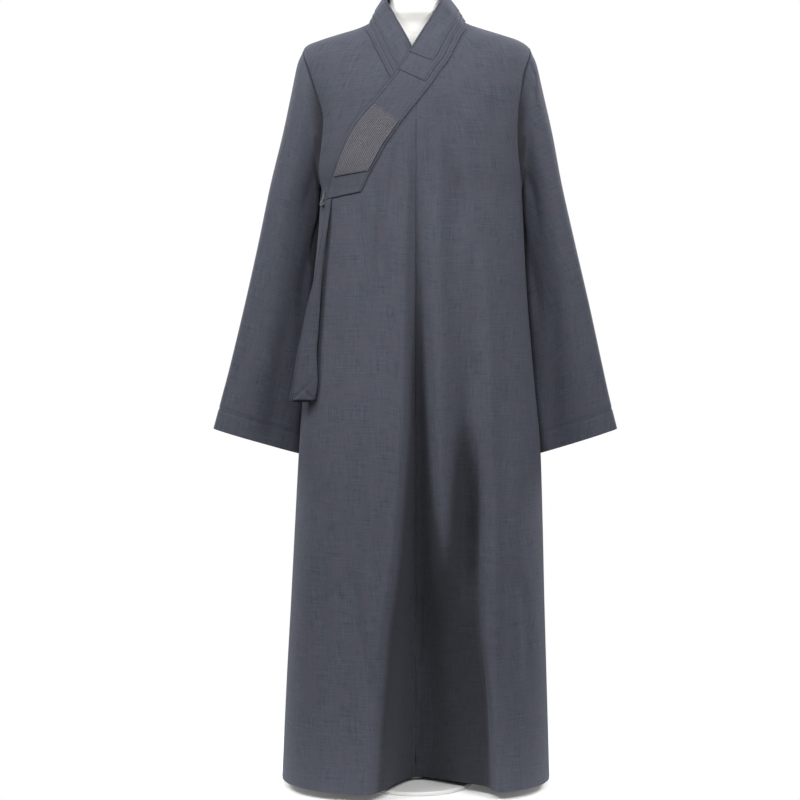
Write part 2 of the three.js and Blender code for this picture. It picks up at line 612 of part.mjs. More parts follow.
function formTorso() {
  const angles = Array.from({ length: 40 }, (_, k) => toAngle(9 * k));
  const carried = (angle, z) => {
    const facing = Math.abs(Math.cos(angle * DEG));
    const chest = Math.cos(angle * DEG) > 0 ? FORM_CHEST_INSET : FORM_CHEST_INSET / 3;
    return bodyLifted(angle, z, -CLOTH - FORM_SEAT - chest * ease(facing * 1.4 - 0.25));
  };
  const ring = (z) => angles.map((angle) => {
    const own = sectionPoint(FORM, angle, z, false);
    return own.lerp(carried(angle, z), ease((z - FORM_LOW) / (FORM_JOIN - FORM_LOW)));
  });
  const neckRing = (row) => angles.map((angle) => {
    const [across, ahead] = [Math.sin(angle * DEG), Math.cos(angle * DEG)];
    const deep = ahead > 0 ? row.front : row.back;
    const r = 1 / Math.hypot(across / row.half, ahead / deep);
    return new THREE.Vector3(r * across, -r * ahead - FORWARD, row.z);
  });
  const heights = [710, 760, 820, 890, 960, 1030, 1100, 1160, 1208, 1240, 1268, 1287, 1300, 1310, 1318];
  const shoulders = [1324, 1330, 1336, 1341, 1346, 1352];
  return loft([...[...heights, ...shoulders].map(ring), ...FORM_NECK.map(neckRing)]);
}

function knot() {
  const centre = bodyLifted(-74, 1036, KNOT_RADIUS - 1);
  const ball = new THREE.IcosahedronGeometry(KNOT_RADIUS, 2);
  ball.deleteAttribute("uv");
  ball.deleteAttribute("normal");
  return ball.translate(centre.x, centre.y, centre.z);
}

function knotLoop() {
  const lift = CORD_RADIUS + 0.4;
  const path = new THREE.CatmullRomCurve3([
    bodyLifted(-74.5, 1042.5, lift + 1.6),
    bodyLifted(-75.5, 1046, lift - 0.4),
    bodyLifted(-76, 1050.5, lift - 1.4),
    bodyLifted(-76, 1058, lift - 2.7),
  ]);
  const section = new THREE.Shape().absarc(0, 0, CORD_RADIUS, 0, 2 * Math.PI);
  const sweep = { extrudePath: path, steps: 8, curveSegments: 4, bevelEnabled: false };
  return new THREE.ExtrudeGeometry(section, sweep);
}

const pole = () =>
  new THREE.CylinderGeometry(POLE_RADIUS, POLE_RADIUS, FORM[0].z - BASE_HEIGHT - 2 * SEAM, 32)
    .rotateX(Math.PI / 2)
    .translate(0, 0, (FORM[0].z + BASE_HEIGHT) / 2);

function base() {
  const edge = 2;
  const profile = [
    [0, 0],
    [BASE_RADIUS - edge, 0],
    [BASE_RADIUS, edge],
    [BASE_RADIUS, BASE_HEIGHT - edge],
    [BASE_RADIUS - edge, BASE_HEIGHT],
    [0, BASE_HEIGHT],
  ].map(([r, z]) => new THREE.Vector2(r, z));
  return new THREE.LatheGeometry(profile, 48).rotateX(Math.PI / 2);
}

const cloth = () => new THREE.MeshStandardMaterial({ color: 0x50555f, roughness: 0.9, metalness: 0 });
const cover = () => new THREE.MeshStandardMaterial({ color: 0xe6e3dd, roughness: 0.85, metalness: 0 });
const metal = () => new THREE.MeshStandardMaterial({ color: 0xe8e8e6, roughness: 0.4, metalness: 0.1 });

const robe = new THREE.Group();
function add(name, geometry, material) {
  const mesh = new THREE.Mesh(geometry, material);
  mesh.name = name;
  robe.add(mesh);
}

// Rows of the collar's grids, two for each row of its table.
const halfRows = (table) => Array.from({ length: 2 * table.length - 1 }, (_, k) => k / 2);
const bandLeft = collarGrid(COLLAR_LEFT, halfRows(COLLAR_LEFT), false);
const bandRight = collarGrid(COLLAR_RIGHT, halfRows(COLLAR_RIGHT), true);
const ALL = BAND_SHARES.length;
const stripLeft = (layer, end) => collarPiece(bandLeft, layer, LAYER, 2 * end, [0, ALL - layer]);
const stripRight = (layer, end) => collarPiece(bandRight, layer, LAYER, 2 * end, [layer, ALL]);
function quiltedPatch() {
  const [first, last] = [2 * QUILTED.from, 2 * QUILTED.to + 1];
  const cut = (grid) => grid.slice(first, last).map((r) => r.slice(0, ALL));
  return wall(cut(moved(bandLeft, LAYER + SEAM)), cut(moved(bandLeft, SEAM)));
}

add("front_left", frontLeft(), cloth());
add("front_overlap", overlap(), cloth());
add("front_right_under", frontRight(), cloth());
add("back_left", backLeft(), cloth());
add("back_right", backRight(), cloth());
add("sleeve_left", sleeve(1), cloth());
add("sleeve_right", sleeve(-1), cloth());
add("collar_left", collarPiece(bandLeft, 0, BAND, 0, [0, ALL]), cloth());
add("collar_right", collarPiece(bandRight, 0, BAND, 0, [0, ALL]), cloth());
add("collar_strip_2_left", stripLeft(1, SECOND_STRIP_END), cloth());
add("collar_strip_3_left", stripLeft(2, THIRD_STRIP_END), cloth());
add("collar_strip_2_right", stripRight(1, 0.5), cloth());
add("collar_strip_3_right", stripRight(2, 1), cloth());
add("collar_quilted_patch", quiltedPatch(), cloth());
add("tie_outer", outerTie(bandLeft[0]), cloth());
add("tie_inner", innerTie(), cloth());
add("knot_button", knot(), cloth());
add("knot_loop", knotLoop(), cloth());
add("form_torso", formTorso(), cover());
add("stand_pole", pole(), metal());
add("stand_base", base(), metal());

export default robe;
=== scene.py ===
import bpy
import numpy as np
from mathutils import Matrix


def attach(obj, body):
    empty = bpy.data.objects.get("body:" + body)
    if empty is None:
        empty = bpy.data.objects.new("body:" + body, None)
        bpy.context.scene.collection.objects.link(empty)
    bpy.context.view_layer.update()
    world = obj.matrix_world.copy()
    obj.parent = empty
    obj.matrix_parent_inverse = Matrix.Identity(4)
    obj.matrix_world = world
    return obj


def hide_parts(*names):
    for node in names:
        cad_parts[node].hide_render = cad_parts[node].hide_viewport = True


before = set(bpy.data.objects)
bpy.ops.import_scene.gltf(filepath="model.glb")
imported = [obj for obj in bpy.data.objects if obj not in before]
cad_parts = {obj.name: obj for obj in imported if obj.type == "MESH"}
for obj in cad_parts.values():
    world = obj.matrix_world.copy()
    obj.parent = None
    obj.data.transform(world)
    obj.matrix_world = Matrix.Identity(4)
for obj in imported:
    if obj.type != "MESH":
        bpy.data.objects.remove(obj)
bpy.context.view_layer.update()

MM = 0.001

# Driving dimensions, the same as the solids'.
CLOTH = 1.2
BAND = 1.8
LAYER = 1.0
PATCH = 0.6
SEAM = 0.3
HEM = 14
NECK = 1372
TUCK = 9
FORWARD = 12
LAP = 7
LAP_SIDE = 2.4
REST = 0.7


def table(names, text):
    """A short table with named columns, one row a line."""
    rows = [line.split() for line in text.strip().splitlines()]
    return dict(zip(names.split(), np.array(rows, float).T))


BODY = table("z left right front back power", """
14 238 239 147 128 2.3
190 230 234 143 123 2.3
335 222 230 139 119 2.3
470 215 227 135 115 2.3
600 208 223 130 112 2.3
710 200 213 125 110 2.3
875 185 199 118 108 2.3
1010 172 192 113 106 2.3
1055 170 190 111 106 2.3
1110 178 191 109 105 2.4
1182 179 197 105 104 2.4
1235 192 203 99 101 2.4
1271 202 207 91 97 2.3
1298 206 210 82 91 2.2
1310 203 208 77 87 2.1
1321 194 199 72 83 2.05
1331 170 182 66 79 2.0
1341 138 152 59 75 2.0
1351 105 119 51 70 2.0
1361 83 91 43 63 2.0
1372 72 79 34 56 2.0
""")
FOLD = "z x left right depth"
FRONT_FOLDS = [
    table(FOLD, """
14 6 97 155 134
255 5 76 120 98
415 3 50 68 62
560 2 38 47 41
700 2 30 38 27
875 1 24 30 14
1055 1 19 24 6
1160 0 16 20 0
"""),
    table(FOLD, """
14 84 46 34 0
255 81 46 34 16
415 79 44 34 32
560 77 42 34 24
700 73 38 32 15
875 68 34 30 8
1055 65 30 28 3
1160 64 26 26 0
"""),
    table(FOLD, """
14 -128 40 34 5
415 -114 38 32 8
650 -86 32 28 6
910 -62 26 22 5
1090 -50 22 18 0
"""),
]
BACK_FOLDS = [
    table(FOLD, """
14 -98 62 52 30
459 -92 46 40 16
829 -84 34 30 5
1009 -80 30 26 0
"""),
    table(FOLD, """
14 4 44 48 24
459 2 36 36 17
829 0 28 28 8
1129 0 24 24 0
"""),
    table(FOLD, """
14 106 52 60 34
459 98 42 44 18
829 88 32 32 5
1009 84 28 28 0
"""),
]

# The main creases of the body. Each runs from its top to its end with a sideways
# bow. depth is a trough's depth, or a ridge's height where it is negative.
CREASE = "x z end_x end_z bow width depth"
FRONT_CREASES = table(CREASE, """
-2 1150 0 600 0 9 4.5
34 1222 100 925 5 15 7.5
97 985 107 430 2 19 10.0
98 650 101 -170 0 31 25.0
117 960 134 470 2 10 -5.0
136 590 139 -110 0 11 -7.0
16 376 -3 300 5 4 6.0
3 345 2 205 4 4 11.0
4 152 -1 30 3 4 5.0
36 1080 56 470 2 19 -6.5
22 1190 28 1010 0 6 2.6
-29 1010 -27 470 3 13 -6.0
-41 1140 -42 1000 1 8 3.4
-64 1070 -56 850 -2 9 4.2
-93 1045 -103 700 3 12 4.6
-128 980 -150 620 -4 15 3.6
-82 800 -76 440 4 18 -3.6
-113 402 -74 80 5 12 5.0
-112 392 -164 332 0 7 1.5
-60 620 -46 250 0 14 3.2
-152 560 -176 120 4 20 4.4
62 1220 66 1120 0 9 2.2
92 1180 128 1020 0 12 2.8
152 900 166 320 3 15 4.4
170 700 186 180 -4 18 -4.0
182 400 196 150 2 13 4.4
140 1270 152 1130 -5 14 2.6
-120 1290 -150 1200 4 12 2.4
""")
BACK_CREASES = table(CREASE, """
-30 1240 -92 1020 6 16 5.1
34 1250 96 1010 -6 16 5.4
-120 1180 -108 760 5 16 5.8
126 1160 112 740 -4 15 5.1
-56 1040 -48 500 3 14 5.4
52 980 44 430 -4 16 6.1
-132 620 -150 90 4 18 6.4
140 700 164 150 -5 20 5.8
-20 760 -24 200 2 12 -4.8
76 560 70 120 3 13 -4.8
-74 430 -60 60 2 12 4.5
-150 1250 -60 1285 8 11 3.5
60 1290 150 1246 8 11 3.2
-140 1005 -90 985 -4 9 2.9
92 1000 146 1022 -4 9 2.9
""")

ARMHOLE_MIDDLE = 1191
ARMHOLE_HALF_HEIGHT = 124
ARMHOLE_HALF_DEPTH = 52
SLEEVE = table("left right out_z in_z gap out_y in_y depth drawn", """
209 204 1306 1056 0.8 -13 4 54 0.06
217 212 1286 1045 1.4 -14 13 57 0.12
228 222 1237 1021 3.2 -14 21 57 0.16
245 238 1161 985 5.2 -13 27 53 0.18
262 260 1071 935 7 -12 31 48 0.16
286 282 966 869 7 -10 35 43 0.12
311 306 859 786 7 -9 38 39 0.08
334.5 332 751 690 7 -8 41 36 0.04
348 348 690 636 7 -8 43 34 0.02
361.5 362.5 636 584 7 -8 44 33 0
""")
# Creases of a sleeve: turn is the angle from the sleeve's outer edge past its front, and along is
# the distance from the armhole. The width is across the crease.
SLEEVE_CREASE = "turn along end_turn end_along width depth"
SLEEVE_CREASES = {
    1: table(SLEEVE_CREASE, """
160 6 150 190 9 8.0
144 120 118 380 13 4.0
128 16 92 210 10 2.6
60 120 76 520 16 -2.4
98 300 112 640 14 2.8
34 330 48 660 12 2.0
140 420 130 690 11 -2.2
30 3 52 52 7 3.4
66 3 48 66 6 3.2
232 30 250 380 14 3.6
276 180 262 600 16 3.0
306 300 322 650 13 -2.6
212 300 228 620 13 3.0
"""),
    -1: table(SLEEVE_CREASE, """
158 6 148 230 10 10.0
140 120 122 360 12 4.0
122 24 96 260 10 2.4
72 100 84 480 17 -2.2
104 340 96 650 14 2.8
44 260 38 620 13 1.8
132 400 140 680 11 -2.4
240 26 256 340 14 3.4
270 220 282 640 15 2.8
318 340 308 660 13 -2.4
216 260 230 600 13 2.8
"""),
}

# Rows along a band, with its neck edge and its outer edge. Where out_angle is nan, the band lies on
# the chest and the angle follows from out_x.
COLLAR = "row in_x in_y in_z out_x out_z out_angle chest"
COLLAR_LEFT = table(COLLAR, """
0 -158 -66 1043 -96 1054 nan 1
1 -149 -82 1081 -78 1091 nan 1
2 -137 -97 1117 -66 1112 nan 1
3 -122 -105 1151 -54 1134 nan 1
4 -102 -112 1183 -40 1154 nan 1
5 -77 -116 1211 -26 1175 nan 1
6 -54 -115 1239 -2 1206 nan 1
7 -31 -112 1268 26 1241 nan 1
8 -19 -108 1289 43 1267 nan 1
9 -7 -102 1310 55 1282 nan 0.92
10 9 -89 1337 68 1307 nan 0.6
11 26 -71 1366 79 1330 nan 0.25
12 42 -51 1396 88 1345 nan 0
13 47 -30 1411 92 1356 73 0
14 50 -8 1419 92 1363 90 0
15 48 15 1423 77 1365 116 0
16 31 35 1425 44 1365 146 0
17 0 43 1426 0 1364 180 0
""")
COLLAR_RIGHT = table(COLLAR, """
0 38 -112 1228 -10 1188 nan 1
1 14 -108 1272 -29 1225 nan 1
2 -8 -100 1315 -48 1263 nan 0.95
3 -30 -80 1356 -67 1302 nan 0.6
4 -42 -66 1380 -80 1330 nan 0.25
5 -51 -50 1398 -87 1344 nan 0
6 -47 -30 1411 -87 1354 -73 0
7 -49 -8 1419 -83 1363 -90 0
8 -47 15 1423 -70 1365 -116 0
9 -31 35 1425 -42 1365 -146 0
10 0 43 1426 0 1364 -180 0
""")
STRIP_WIDTHS = {1: 0.839, 2: 0.677}  # shares of the band's width that the strips cover
SECOND_STRIP_END = 7
THIRD_STRIP_END = 8.5
QUILTED_ROWS = (1, 5)
QUILTED_LINES = 19
QUILTED_SHARES = (0.1, 0.93)  # inside the lines of stitches along the band's edges
TOPSTITCH = 4.5  # from the collar's neck edge to its line of stitches
EDGE_STITCH = 4.4  # the same from its outer edge
TIE_STITCH = 2.4

TIE = table("row z left right y fold", """
1 1001 -164 -154 -82 5
2 968 -169 -159 -84 5
3 931 -174 -164 -85 5
4 897 -180 -166 -86 5
5 863 -188 -168 -87 5
6 813 -198 -171 -88 5
7 771 -206 -174 -90 5
8 723 -212 -172 -92 4
9 690 -219 -177 -92 3
""")
TIE_TOP_SHARE = 0.17  # of the collar's end that the tie is sewn under
TIE_BEHIND = (2.3, 7)  # how far the inner tie lies behind the outer one, at its top and its end
TIE_SHIFT = (-5, -3)  # how far the inner tie's end lies aside and below

KNOT_RADIUS = 6
KNOT_CORD = 1.45
CORD_RADIUS = 1.6

FORM = table("z left right front back power", """
710 146 150 78 90 2.2
800 150 155 85 92 2.2
910 141 146 89 84 2.2
1000 136 141 90 80 2.2
1100 143 150 91 86 2.3
1182 150 158 90 90 2.3
1235 170 174 84 90 2.3
""")
FORM_LOW = 1208
FORM_JOIN = 1293
FORM_SEAT = 2.8
FORM_CHEST_INSET = 13
FORM_NECK = table("z half front back", """
1360 75 40 54
1368 65 44 49
1378 60 48 44
1392 49 47 40
1411 46 45 38
1478 46 45 38
1486 41 40 33
""")
POLE_RADIUS = 12.5
BASE_RADIUS = 105
BASE_HEIGHT = 7


# Formulas of the garment's form.
def lerp(a, b, t):
    return a + (b - a) * t


def ease(t):
    t = np.clip(t, 0, 1)
    return t * t * (3 - 2 * t)


def bell(u):
    return np.where(np.abs(u) < 1, 0.5 + 0.5 * np.cos(np.pi * np.clip(u, -1, 1)), 0)


def column(rows, key, name, at):
    """A smooth curve without overshoot through one column of a table."""
    x, y = rows[key], rows[name]
    at = np.clip(at, x[0], x[-1])
    i = np.clip(np.searchsorted(x, at, "right") - 1, 0, len(x) - 2)
    span = np.diff(x)
    slope = np.diff(y) / span
    product = slope[:-1] * slope[1:]
    total = slope[:-1] + slope[1:]
    inner = np.where(product > 0, 2 * product / np.where(total == 0, 1, total), 0)
    tangent = np.concatenate([slope[:1], inner, slope[-1:]])
    t = (at - x[i]) / span[i]
    t2, t3 = t * t, t * t * t
    return (
        (2 * t3 - 3 * t2 + 1) * y[i]
        + (t3 - 2 * t2 + t) * span[i] * tangent[i]
        + (3 * t2 - 2 * t3) * y[i + 1]
        + (t3 - t2) * span[i] * tangent[i + 1]
    )


def fold_depth(folds, x, z):
    depth = 0
    for fold in folds:
        away = x - column(fold, "z", "x", z)
        width = np.where(away < 0, column(fold, "z", "left", z), column(fold, "z", "right", z))
        depth = depth + column(fold, "z", "depth", z) * bell(away / width)
    return depth


def section_point(rows, angle, z, folded):
    """A point of a level section: the angle is 0 at the front and 90 on the wearer's left."""
    angle, z = np.broadcast_arrays(np.radians(angle), np.asarray(z, float))
    across, ahead = np.sin(angle), np.cos(angle)
    half = np.where(across > 0, column(rows, "z", "right", z), column(rows, "z", "left", z))
    deep = np.where(ahead > 0, column(rows, "z", "front", z), column(rows, "z", "back", z))
    power = column(rows, "z", "power", z)
    r = ((np.abs(across) / half) ** power + (np.abs(ahead) / deep) ** power) ** (-1 / power)
    x, y = r * across, -r * ahead
    if folded:
        inside = 1 - np.minimum(1, np.abs(x) / half) ** 4
        front = fold_depth(FRONT_FOLDS, x, z)
        back = fold_depth(BACK_FOLDS, x, z)
        y = y + inside * np.where(ahead > 0, front, -back)
    return np.stack([x, y - FORWARD, z], -1)


def body_point(angle, z):
    return section_point(BODY, angle, z, True)


def merged(digits, *parts):
    return np.unique(np.round(np.concatenate(parts), digits))


def read_along(at, reach, values):
    """Points read at distances along a run of points."""
    return np.stack([np.interp(at, reach, values[:, c]) for c in range(3)], -1)


def unit(v):
    return v / np.maximum(np.linalg.norm(v, axis=-1, keepdims=True), 1e-9)


def body_normal(angle, z):
    turn, rise = 0.4, 1.5
    around = body_point(angle + turn, z) - body_point(angle - turn, z)
    up = body_point(angle, np.minimum(NECK, z + rise)) - body_point(angle, np.maximum(HEM, z - rise))
    return unit(np.cross(around, up))


def body_lifted(angle, z, lift):
    return body_point(angle, z) + body_normal(angle, z) * np.asarray(lift, float)[..., None]


def solve(f, target, low, high, shape):
    """Finds where an increasing function reaches a value, for many places at once."""
    low = np.full(shape, float(low))
    high = np.full(shape, float(high))
    for _ in range(32):
        middle = (low + high) / 2
        less = f(middle) < target
        low = np.where(less, middle, low)
        high = np.where(less, high, middle)
    return (low + high) / 2


def angle_at_x(x, z):
    x, z = np.broadcast_arrays(np.asarray(x, float), np.asarray(z, float))
    return solve(lambda angle: body_point(angle, z)[..., 0], x, -90, 90, x.shape)


def armhole_angle(z, side, is_front, inset=0):
    z = np.asarray(z, float)
    away = (z - ARMHOLE_MIDDLE) / (ARMHOLE_HALF_HEIGHT - inset)
    depth = (ARMHOLE_HALF_DEPTH - inset) * np.sqrt(np.clip(1 - away * away, 0, 1))

    def y(angle):
        return body_point(angle * side, z)[..., 1] + FORWARD

    found = solve(y, -depth, 20, 90, z.shape) if is_front else solve(y, depth, 90, 160, z.shape)
    return side * np.where(np.abs(away) < 1, found, 90)


FLATNESS = 1.9


def to_turn(angle):
    a = np.radians(angle)
    return np.degrees(np.arctan2(np.sin(a), FLATNESS * np.cos(a)))


def to_angle(turn):
    a = np.radians(turn)
    return np.degrees(np.arctan2(FLATNESS * np.sin(a), np.cos(a)))


def seam_angle(angle, z):
    p = section_point(BODY, angle, z, False)
    return np.degrees(SEAM / 2 / np.hypot(p[..., 0], p[..., 1] + FORWARD))


def soft_side(z):
    """How far, in degrees, the inner columns of a panel stay clear of the armhole's curve."""
    low = 830
    below = ease((z - low) / (ARMHOLE_MIDDLE - low))
    above = ease((z - ARMHOLE_MIDDLE) / (NECK - 30 - ARMHOLE_MIDDLE))
    return 24 * np.where(z < ARMHOLE_MIDDLE, below, 1 - above)


def grid_normals(grid, ring=False):
    """The outward normal at each point of a grid, rows up and columns to the right."""
    up = np.gradient(grid, axis=0)
    if ring:
        around = np.roll(grid, -1, axis=1) - np.roll(grid, 1, axis=1)
    else:
        around = np.gradient(grid, axis=1)
    return unit(np.cross(around, up))


def moved(grid, distance, ring=False):
    return grid + grid_normals(grid, ring) * np.asarray(distance, float)[..., None]


def crease_depth(rows, x, z):
    """How deep the creases are at a place, with uneven troughs and soft ends."""
    depth = 0
    for k in range(len(rows["x"])):
        x0, z0, x1, z1, bow, width, deep = (rows[name][k] for name in CREASE.split())
        run = np.hypot(x1 - x0, z1 - z0)
        along = ((x - x0) * (x1 - x0) + (z - z0) * (z1 - z0)) / run**2
        aside = ((x - x0) * (z1 - z0) - (z - z0) * (x1 - x0)) / run
        wander = bow * np.sin(np.pi * along) + 0.18 * width * np.sin(5.1 * along + 1.7 * k)
        soft = np.sin(np.pi * np.clip(along, 0, 1)) ** 0.8
        uneven = 1 + 0.22 * np.sin(9.7 * along + 2.3 * k)
        spread = width * (0.75 + 0.5 * np.clip(along, 0, 1))
        depth = depth + deep * soft * uneven * np.exp(-(((aside + wander) / spread) ** 2))
    return depth


# Meshes.
def edge_distances(grid, axis):
    """Distance of each point from the grid's first edge along one axis, measured on the cloth."""
    steps = np.linalg.norm(np.diff(grid, axis=axis), axis=-1)
    zero = np.zeros_like(np.take(steps, [0], axis=axis))
    return np.concatenate([zero, np.cumsum(steps, axis=axis)], axis=axis)


def add_object(name, data):
    made = bpy.data.objects.new(name, data)
    bpy.context.scene.collection.objects.link(made)
    return made


def new_mesh(name, points, faces, uv=None):
    mesh = bpy.data.meshes.new(name)
    mesh.from_pydata((points * MM).tolist(), [], faces)
    mesh.polygons.foreach_set("use_smooth", np.ones(len(mesh.polygons), bool))
    if uv is not None:
        layer = mesh.uv_layers.new(name="cloth")
        layer.data.foreach_set("uv", (uv * MM).astype(np.float32).ravel())
    return add_object(name, mesh)


def grid_faces(rows, columns, ring=False):
    i, j = np.meshgrid(np.arange(rows - 1), np.arange(columns if ring else columns - 1), indexing="ij")
    right = (j + 1) % columns
    quads = [i * columns + j, i * columns + right, (i + 1) * columns + right, (i + 1) * columns + j]
    return np.stack(quads, -1).reshape(-1, 4), i.ravel(), j.ravel()


def sheet_piece(name, grid, thickness, ring=False, origin_column=0, painted_shade=0.0):
    """A thin shell of cloth from a grid of its outer points, with the weave's own coordinates.

    The last argument, from 0 to 1, is the painted shade at each point, mostly by how deep it lies in a
    fold: the cloth's colour is darkened there.
    """
    rows, columns = grid.shape[:2]
    faces, i, j = grid_faces(rows, columns, ring)
    closed = np.concatenate([grid, grid[:, :1]], axis=1) if ring else grid
    u = edge_distances(closed, 1)
    u = u - u[:, origin_column][:, None]
    v = edge_distances(closed, 0)
    corners = [(i, j), (i, j + 1), (i + 1, j + 1), (i + 1, j)]
    uv = np.stack([np.stack([u[a, b], v[a, b]], -1) for a, b in corners], 1).reshape(-1, 2)
    piece = new_mesh(name, grid.reshape(-1, 3), faces.tolist(), uv)
    # Painted shade: a point attribute that darkens the cloth's colour in its folds.
    depths = np.broadcast_to(np.asarray(painted_shade, np.float32), grid.shape[:2])
    layer = piece.data.attributes.new("painted_shade", "FLOAT", "POINT")
    layer.data.foreach_set("value", np.clip(depths, 0, 1).astype(np.float32).ravel())
    wall = piece.modifiers.new("wall", "SOLIDIFY")
    wall.thickness = thickness * MM
    wall.offset = -1
    return piece


def finish_piece(piece, material, slot, *nodes):
    piece.data.materials.append(material)
    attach(piece, "root")
    if nodes:
        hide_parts(*nodes)


def tube_piece(name, path, radius, sides=10, closed=False):
    """A round cord along a path."""
    if closed:
        tangent = unit(np.roll(path, -1, 0) - np.roll(path, 1, 0))
    else:
        tangent = unit(np.gradient(path, axis=0))
    frames = []
    side = unit(np.cross(tangent[0], (0.3, 0.2, 0.93)))
    for t in tangent:
        side = unit(side - t * np.dot(side, t))
        frames.append((side, np.cross(t, side)))
    angles = np.linspace(0, 2 * np.pi, sides, endpoint=False)
    rings = np.array([
        p + radius * (np.cos(angles)[:, None] * a + np.sin(angles)[:, None] * b)
        for p, (a, b) in zip(path, frames)
    ])
    rows = len(path)
    if closed:
        rings = np.concatenate([rings, rings[:1]])
        rows += 1
    faces, i, j = grid_faces(rows, sides, True)
    faces = faces[:, ::-1]
    along = edge_distances(rings, 0)
    step = 2 * np.pi * radius / sides
    corners = [(i, j), (i, j + 1), (i + 1, j + 1), (i + 1, j)][::-1]
    uv = np.stack([np.stack([b * step, along[a, b % sides]], -1) for a, b in corners], 1).reshape(-1, 2)
    return new_mesh(name, rings.reshape(-1, 3), faces.tolist(), uv)


def stitch_mesh(name, runs, pitch=3.0, length=2.1, radius=0.3):
    """Rows of single stitches along runs of (points, normals), joined in one mesh."""
    points, faces, start = [], [], 0
    sides = 6
    angles = np.linspace(0, 2 * np.pi, sides, endpoint=False)
    ring_faces, _, _ = grid_faces(3, sides, True)
    for path, normals in runs:
        reach = np.concatenate([[0], np.cumsum(np.linalg.norm(np.diff(path, axis=0), axis=1))])
        places = np.arange(pitch / 2, reach[-1] - length / 2, pitch)
        centre = read_along(places, reach, path)
        ahead, behind = (read_along(places + way * length / 2, reach, path) for way in (1, -1))
        tangent = unit(ahead - behind)
        normal = unit(read_along(places, reach, normals))
        across = unit(np.cross(normal, tangent))
        for c, t, n, a in zip(centre, tangent, normal, across):
            for share, size, rise in ((-0.5, 0.45, -0.1), (0, 1, 0.12), (0.5, 0.45, -0.1)):
                ring = c + t * share * length + n * rise
                round_it = np.cos(angles)[:, None] * a + np.sin(angles)[:, None] * n
                points.append(ring + radius * size * round_it)
            faces.append(ring_faces + start)
            start += 3 * sides
    return new_mesh(name, np.concatenate(points), np.concatenate(faces).tolist())


# Body panels.
PANEL_WIDTH = 300  # about, where the columns beside a panel's edges are placed


def edge_shares(count, lean=0.0):
    """Shares of a panel's width, closer together at one end by lean, with a few close to both edges."""
    t = np.linspace(0, 1, count)
    shares = lean * t * t + (1 - lean) * t
    near = np.array([0.7, 1.6, 2.8]) / PANEL_WIDTH
    return merged(6, shares, near, 1 - near)


SHARED_TOP = 1033
LOWER_ROWS = np.concatenate(
    [[HEM, HEM + 0.8, HEM + 2.4], np.arange(HEM + 8, SHARED_TOP, 6.2), [SHARED_TOP]])
ARMHOLE_ROWS = ARMHOLE_MIDDLE - ARMHOLE_HALF_HEIGHT * np.cos(np.linspace(0, np.pi, 49))
UPPER_ROWS = np.concatenate([
    np.arange(SHARED_TOP + 5, ARMHOLE_ROWS[0] - 2, 5),
    ARMHOLE_ROWS,
    np.arange(ARMHOLE_ROWS[-1] + 3.5, NECK - 1, 3.6),
    [NECK],
])


def side_angle(side, is_front, inset):
    def at(z):
        angle = armhole_angle(z, side, is_front)
        return angle + inset * seam_angle(angle, z)
    return at


def centre_angle(angle, inset):
    return lambda z: angle + inset * seam_angle(angle, z)


def edge_angles(collar):
    given = collar["out_angle"]
    return np.where(np.isnan(given), angle_at_x(collar["out_x"], collar["out_z"]), given)


def neckline(collar, ends=()):
    """The height of a panel's upper edge over its angle, a little in under the collar."""
    angles = np.concatenate([edge_angles(collar), [e[0] for e in ends]])
    heights = np.concatenate([collar["out_z"], [e[1] for e in ends]])
    order = np.argsort(angles)
    edge = {"angle": angles[order], "z": heights[order]}
    return lambda angle: column(edge, "angle", "z", angle) + TUCK


def lap_depth(angle, z):
    """How far the under front lies behind the body's surface."""
    toward_middle = ease((75 + angle) / 30)
    below_armhole = 1 - ease((z - 1059) / 30)
    at_chest = lerp(LAP_SIDE, LAP, ease((z - 910) / 120))
    near_neck = 1 - ease((z - 1288) / 60)
    return lerp(LAP_SIDE * below_armhole, at_chest, toward_middle) * lerp(0.1, 1, near_neck)


def panel_grid(shares, first_angle, last_angle, sides, top, lift=None):
    def soft(z, side):
        return np.sign(side) * (90 - soft_side(z) if abs(side) == 1 else 90 + soft_side(z))

    def angle_at(share, z):
        first, last = to_turn(first_angle(z)), to_turn(last_angle(z))
        soft_first = to_turn(soft(z, sides[0])) if sides[0] else first
        soft_last = to_turn(soft(z, sides[1])) if sides[1] else last
        edges = (first - soft_first) * (1 - share) ** 5 + (last - soft_last) * share**5
        return to_angle(lerp(soft_first, soft_last, share) + edges)

    tops = solve(lambda z: z - top(angle_at(shares, z)), 0, SHARED_TOP, NECK, shares.shape)
    upper = (UPPER_ROWS - SHARED_TOP) / (NECK - SHARED_TOP)
    lower = np.repeat(LOWER_ROWS[:, None], len(shares), axis=1)
    z = np.concatenate([lower, lerp(SHARED_TOP, tops[None, :], upper[:, None])])
    angle = angle_at(np.broadcast_to(shares, z.shape), z)
    depth = np.zeros(z.shape) if lift is None else lift(angle, z)
    creases = FRONT_CREASES if abs(sides[0]) < 2 and abs(sides[1]) < 2 else BACK_CREASES
    x = body_point(angle, z)[..., 0]
    return body_lifted(angle, z, depth - crease_depth(creases, x, z))


SEAM_REACH, SEAM_RIDGE, ALLOWANCE = 1.8, 0.8, 3.0


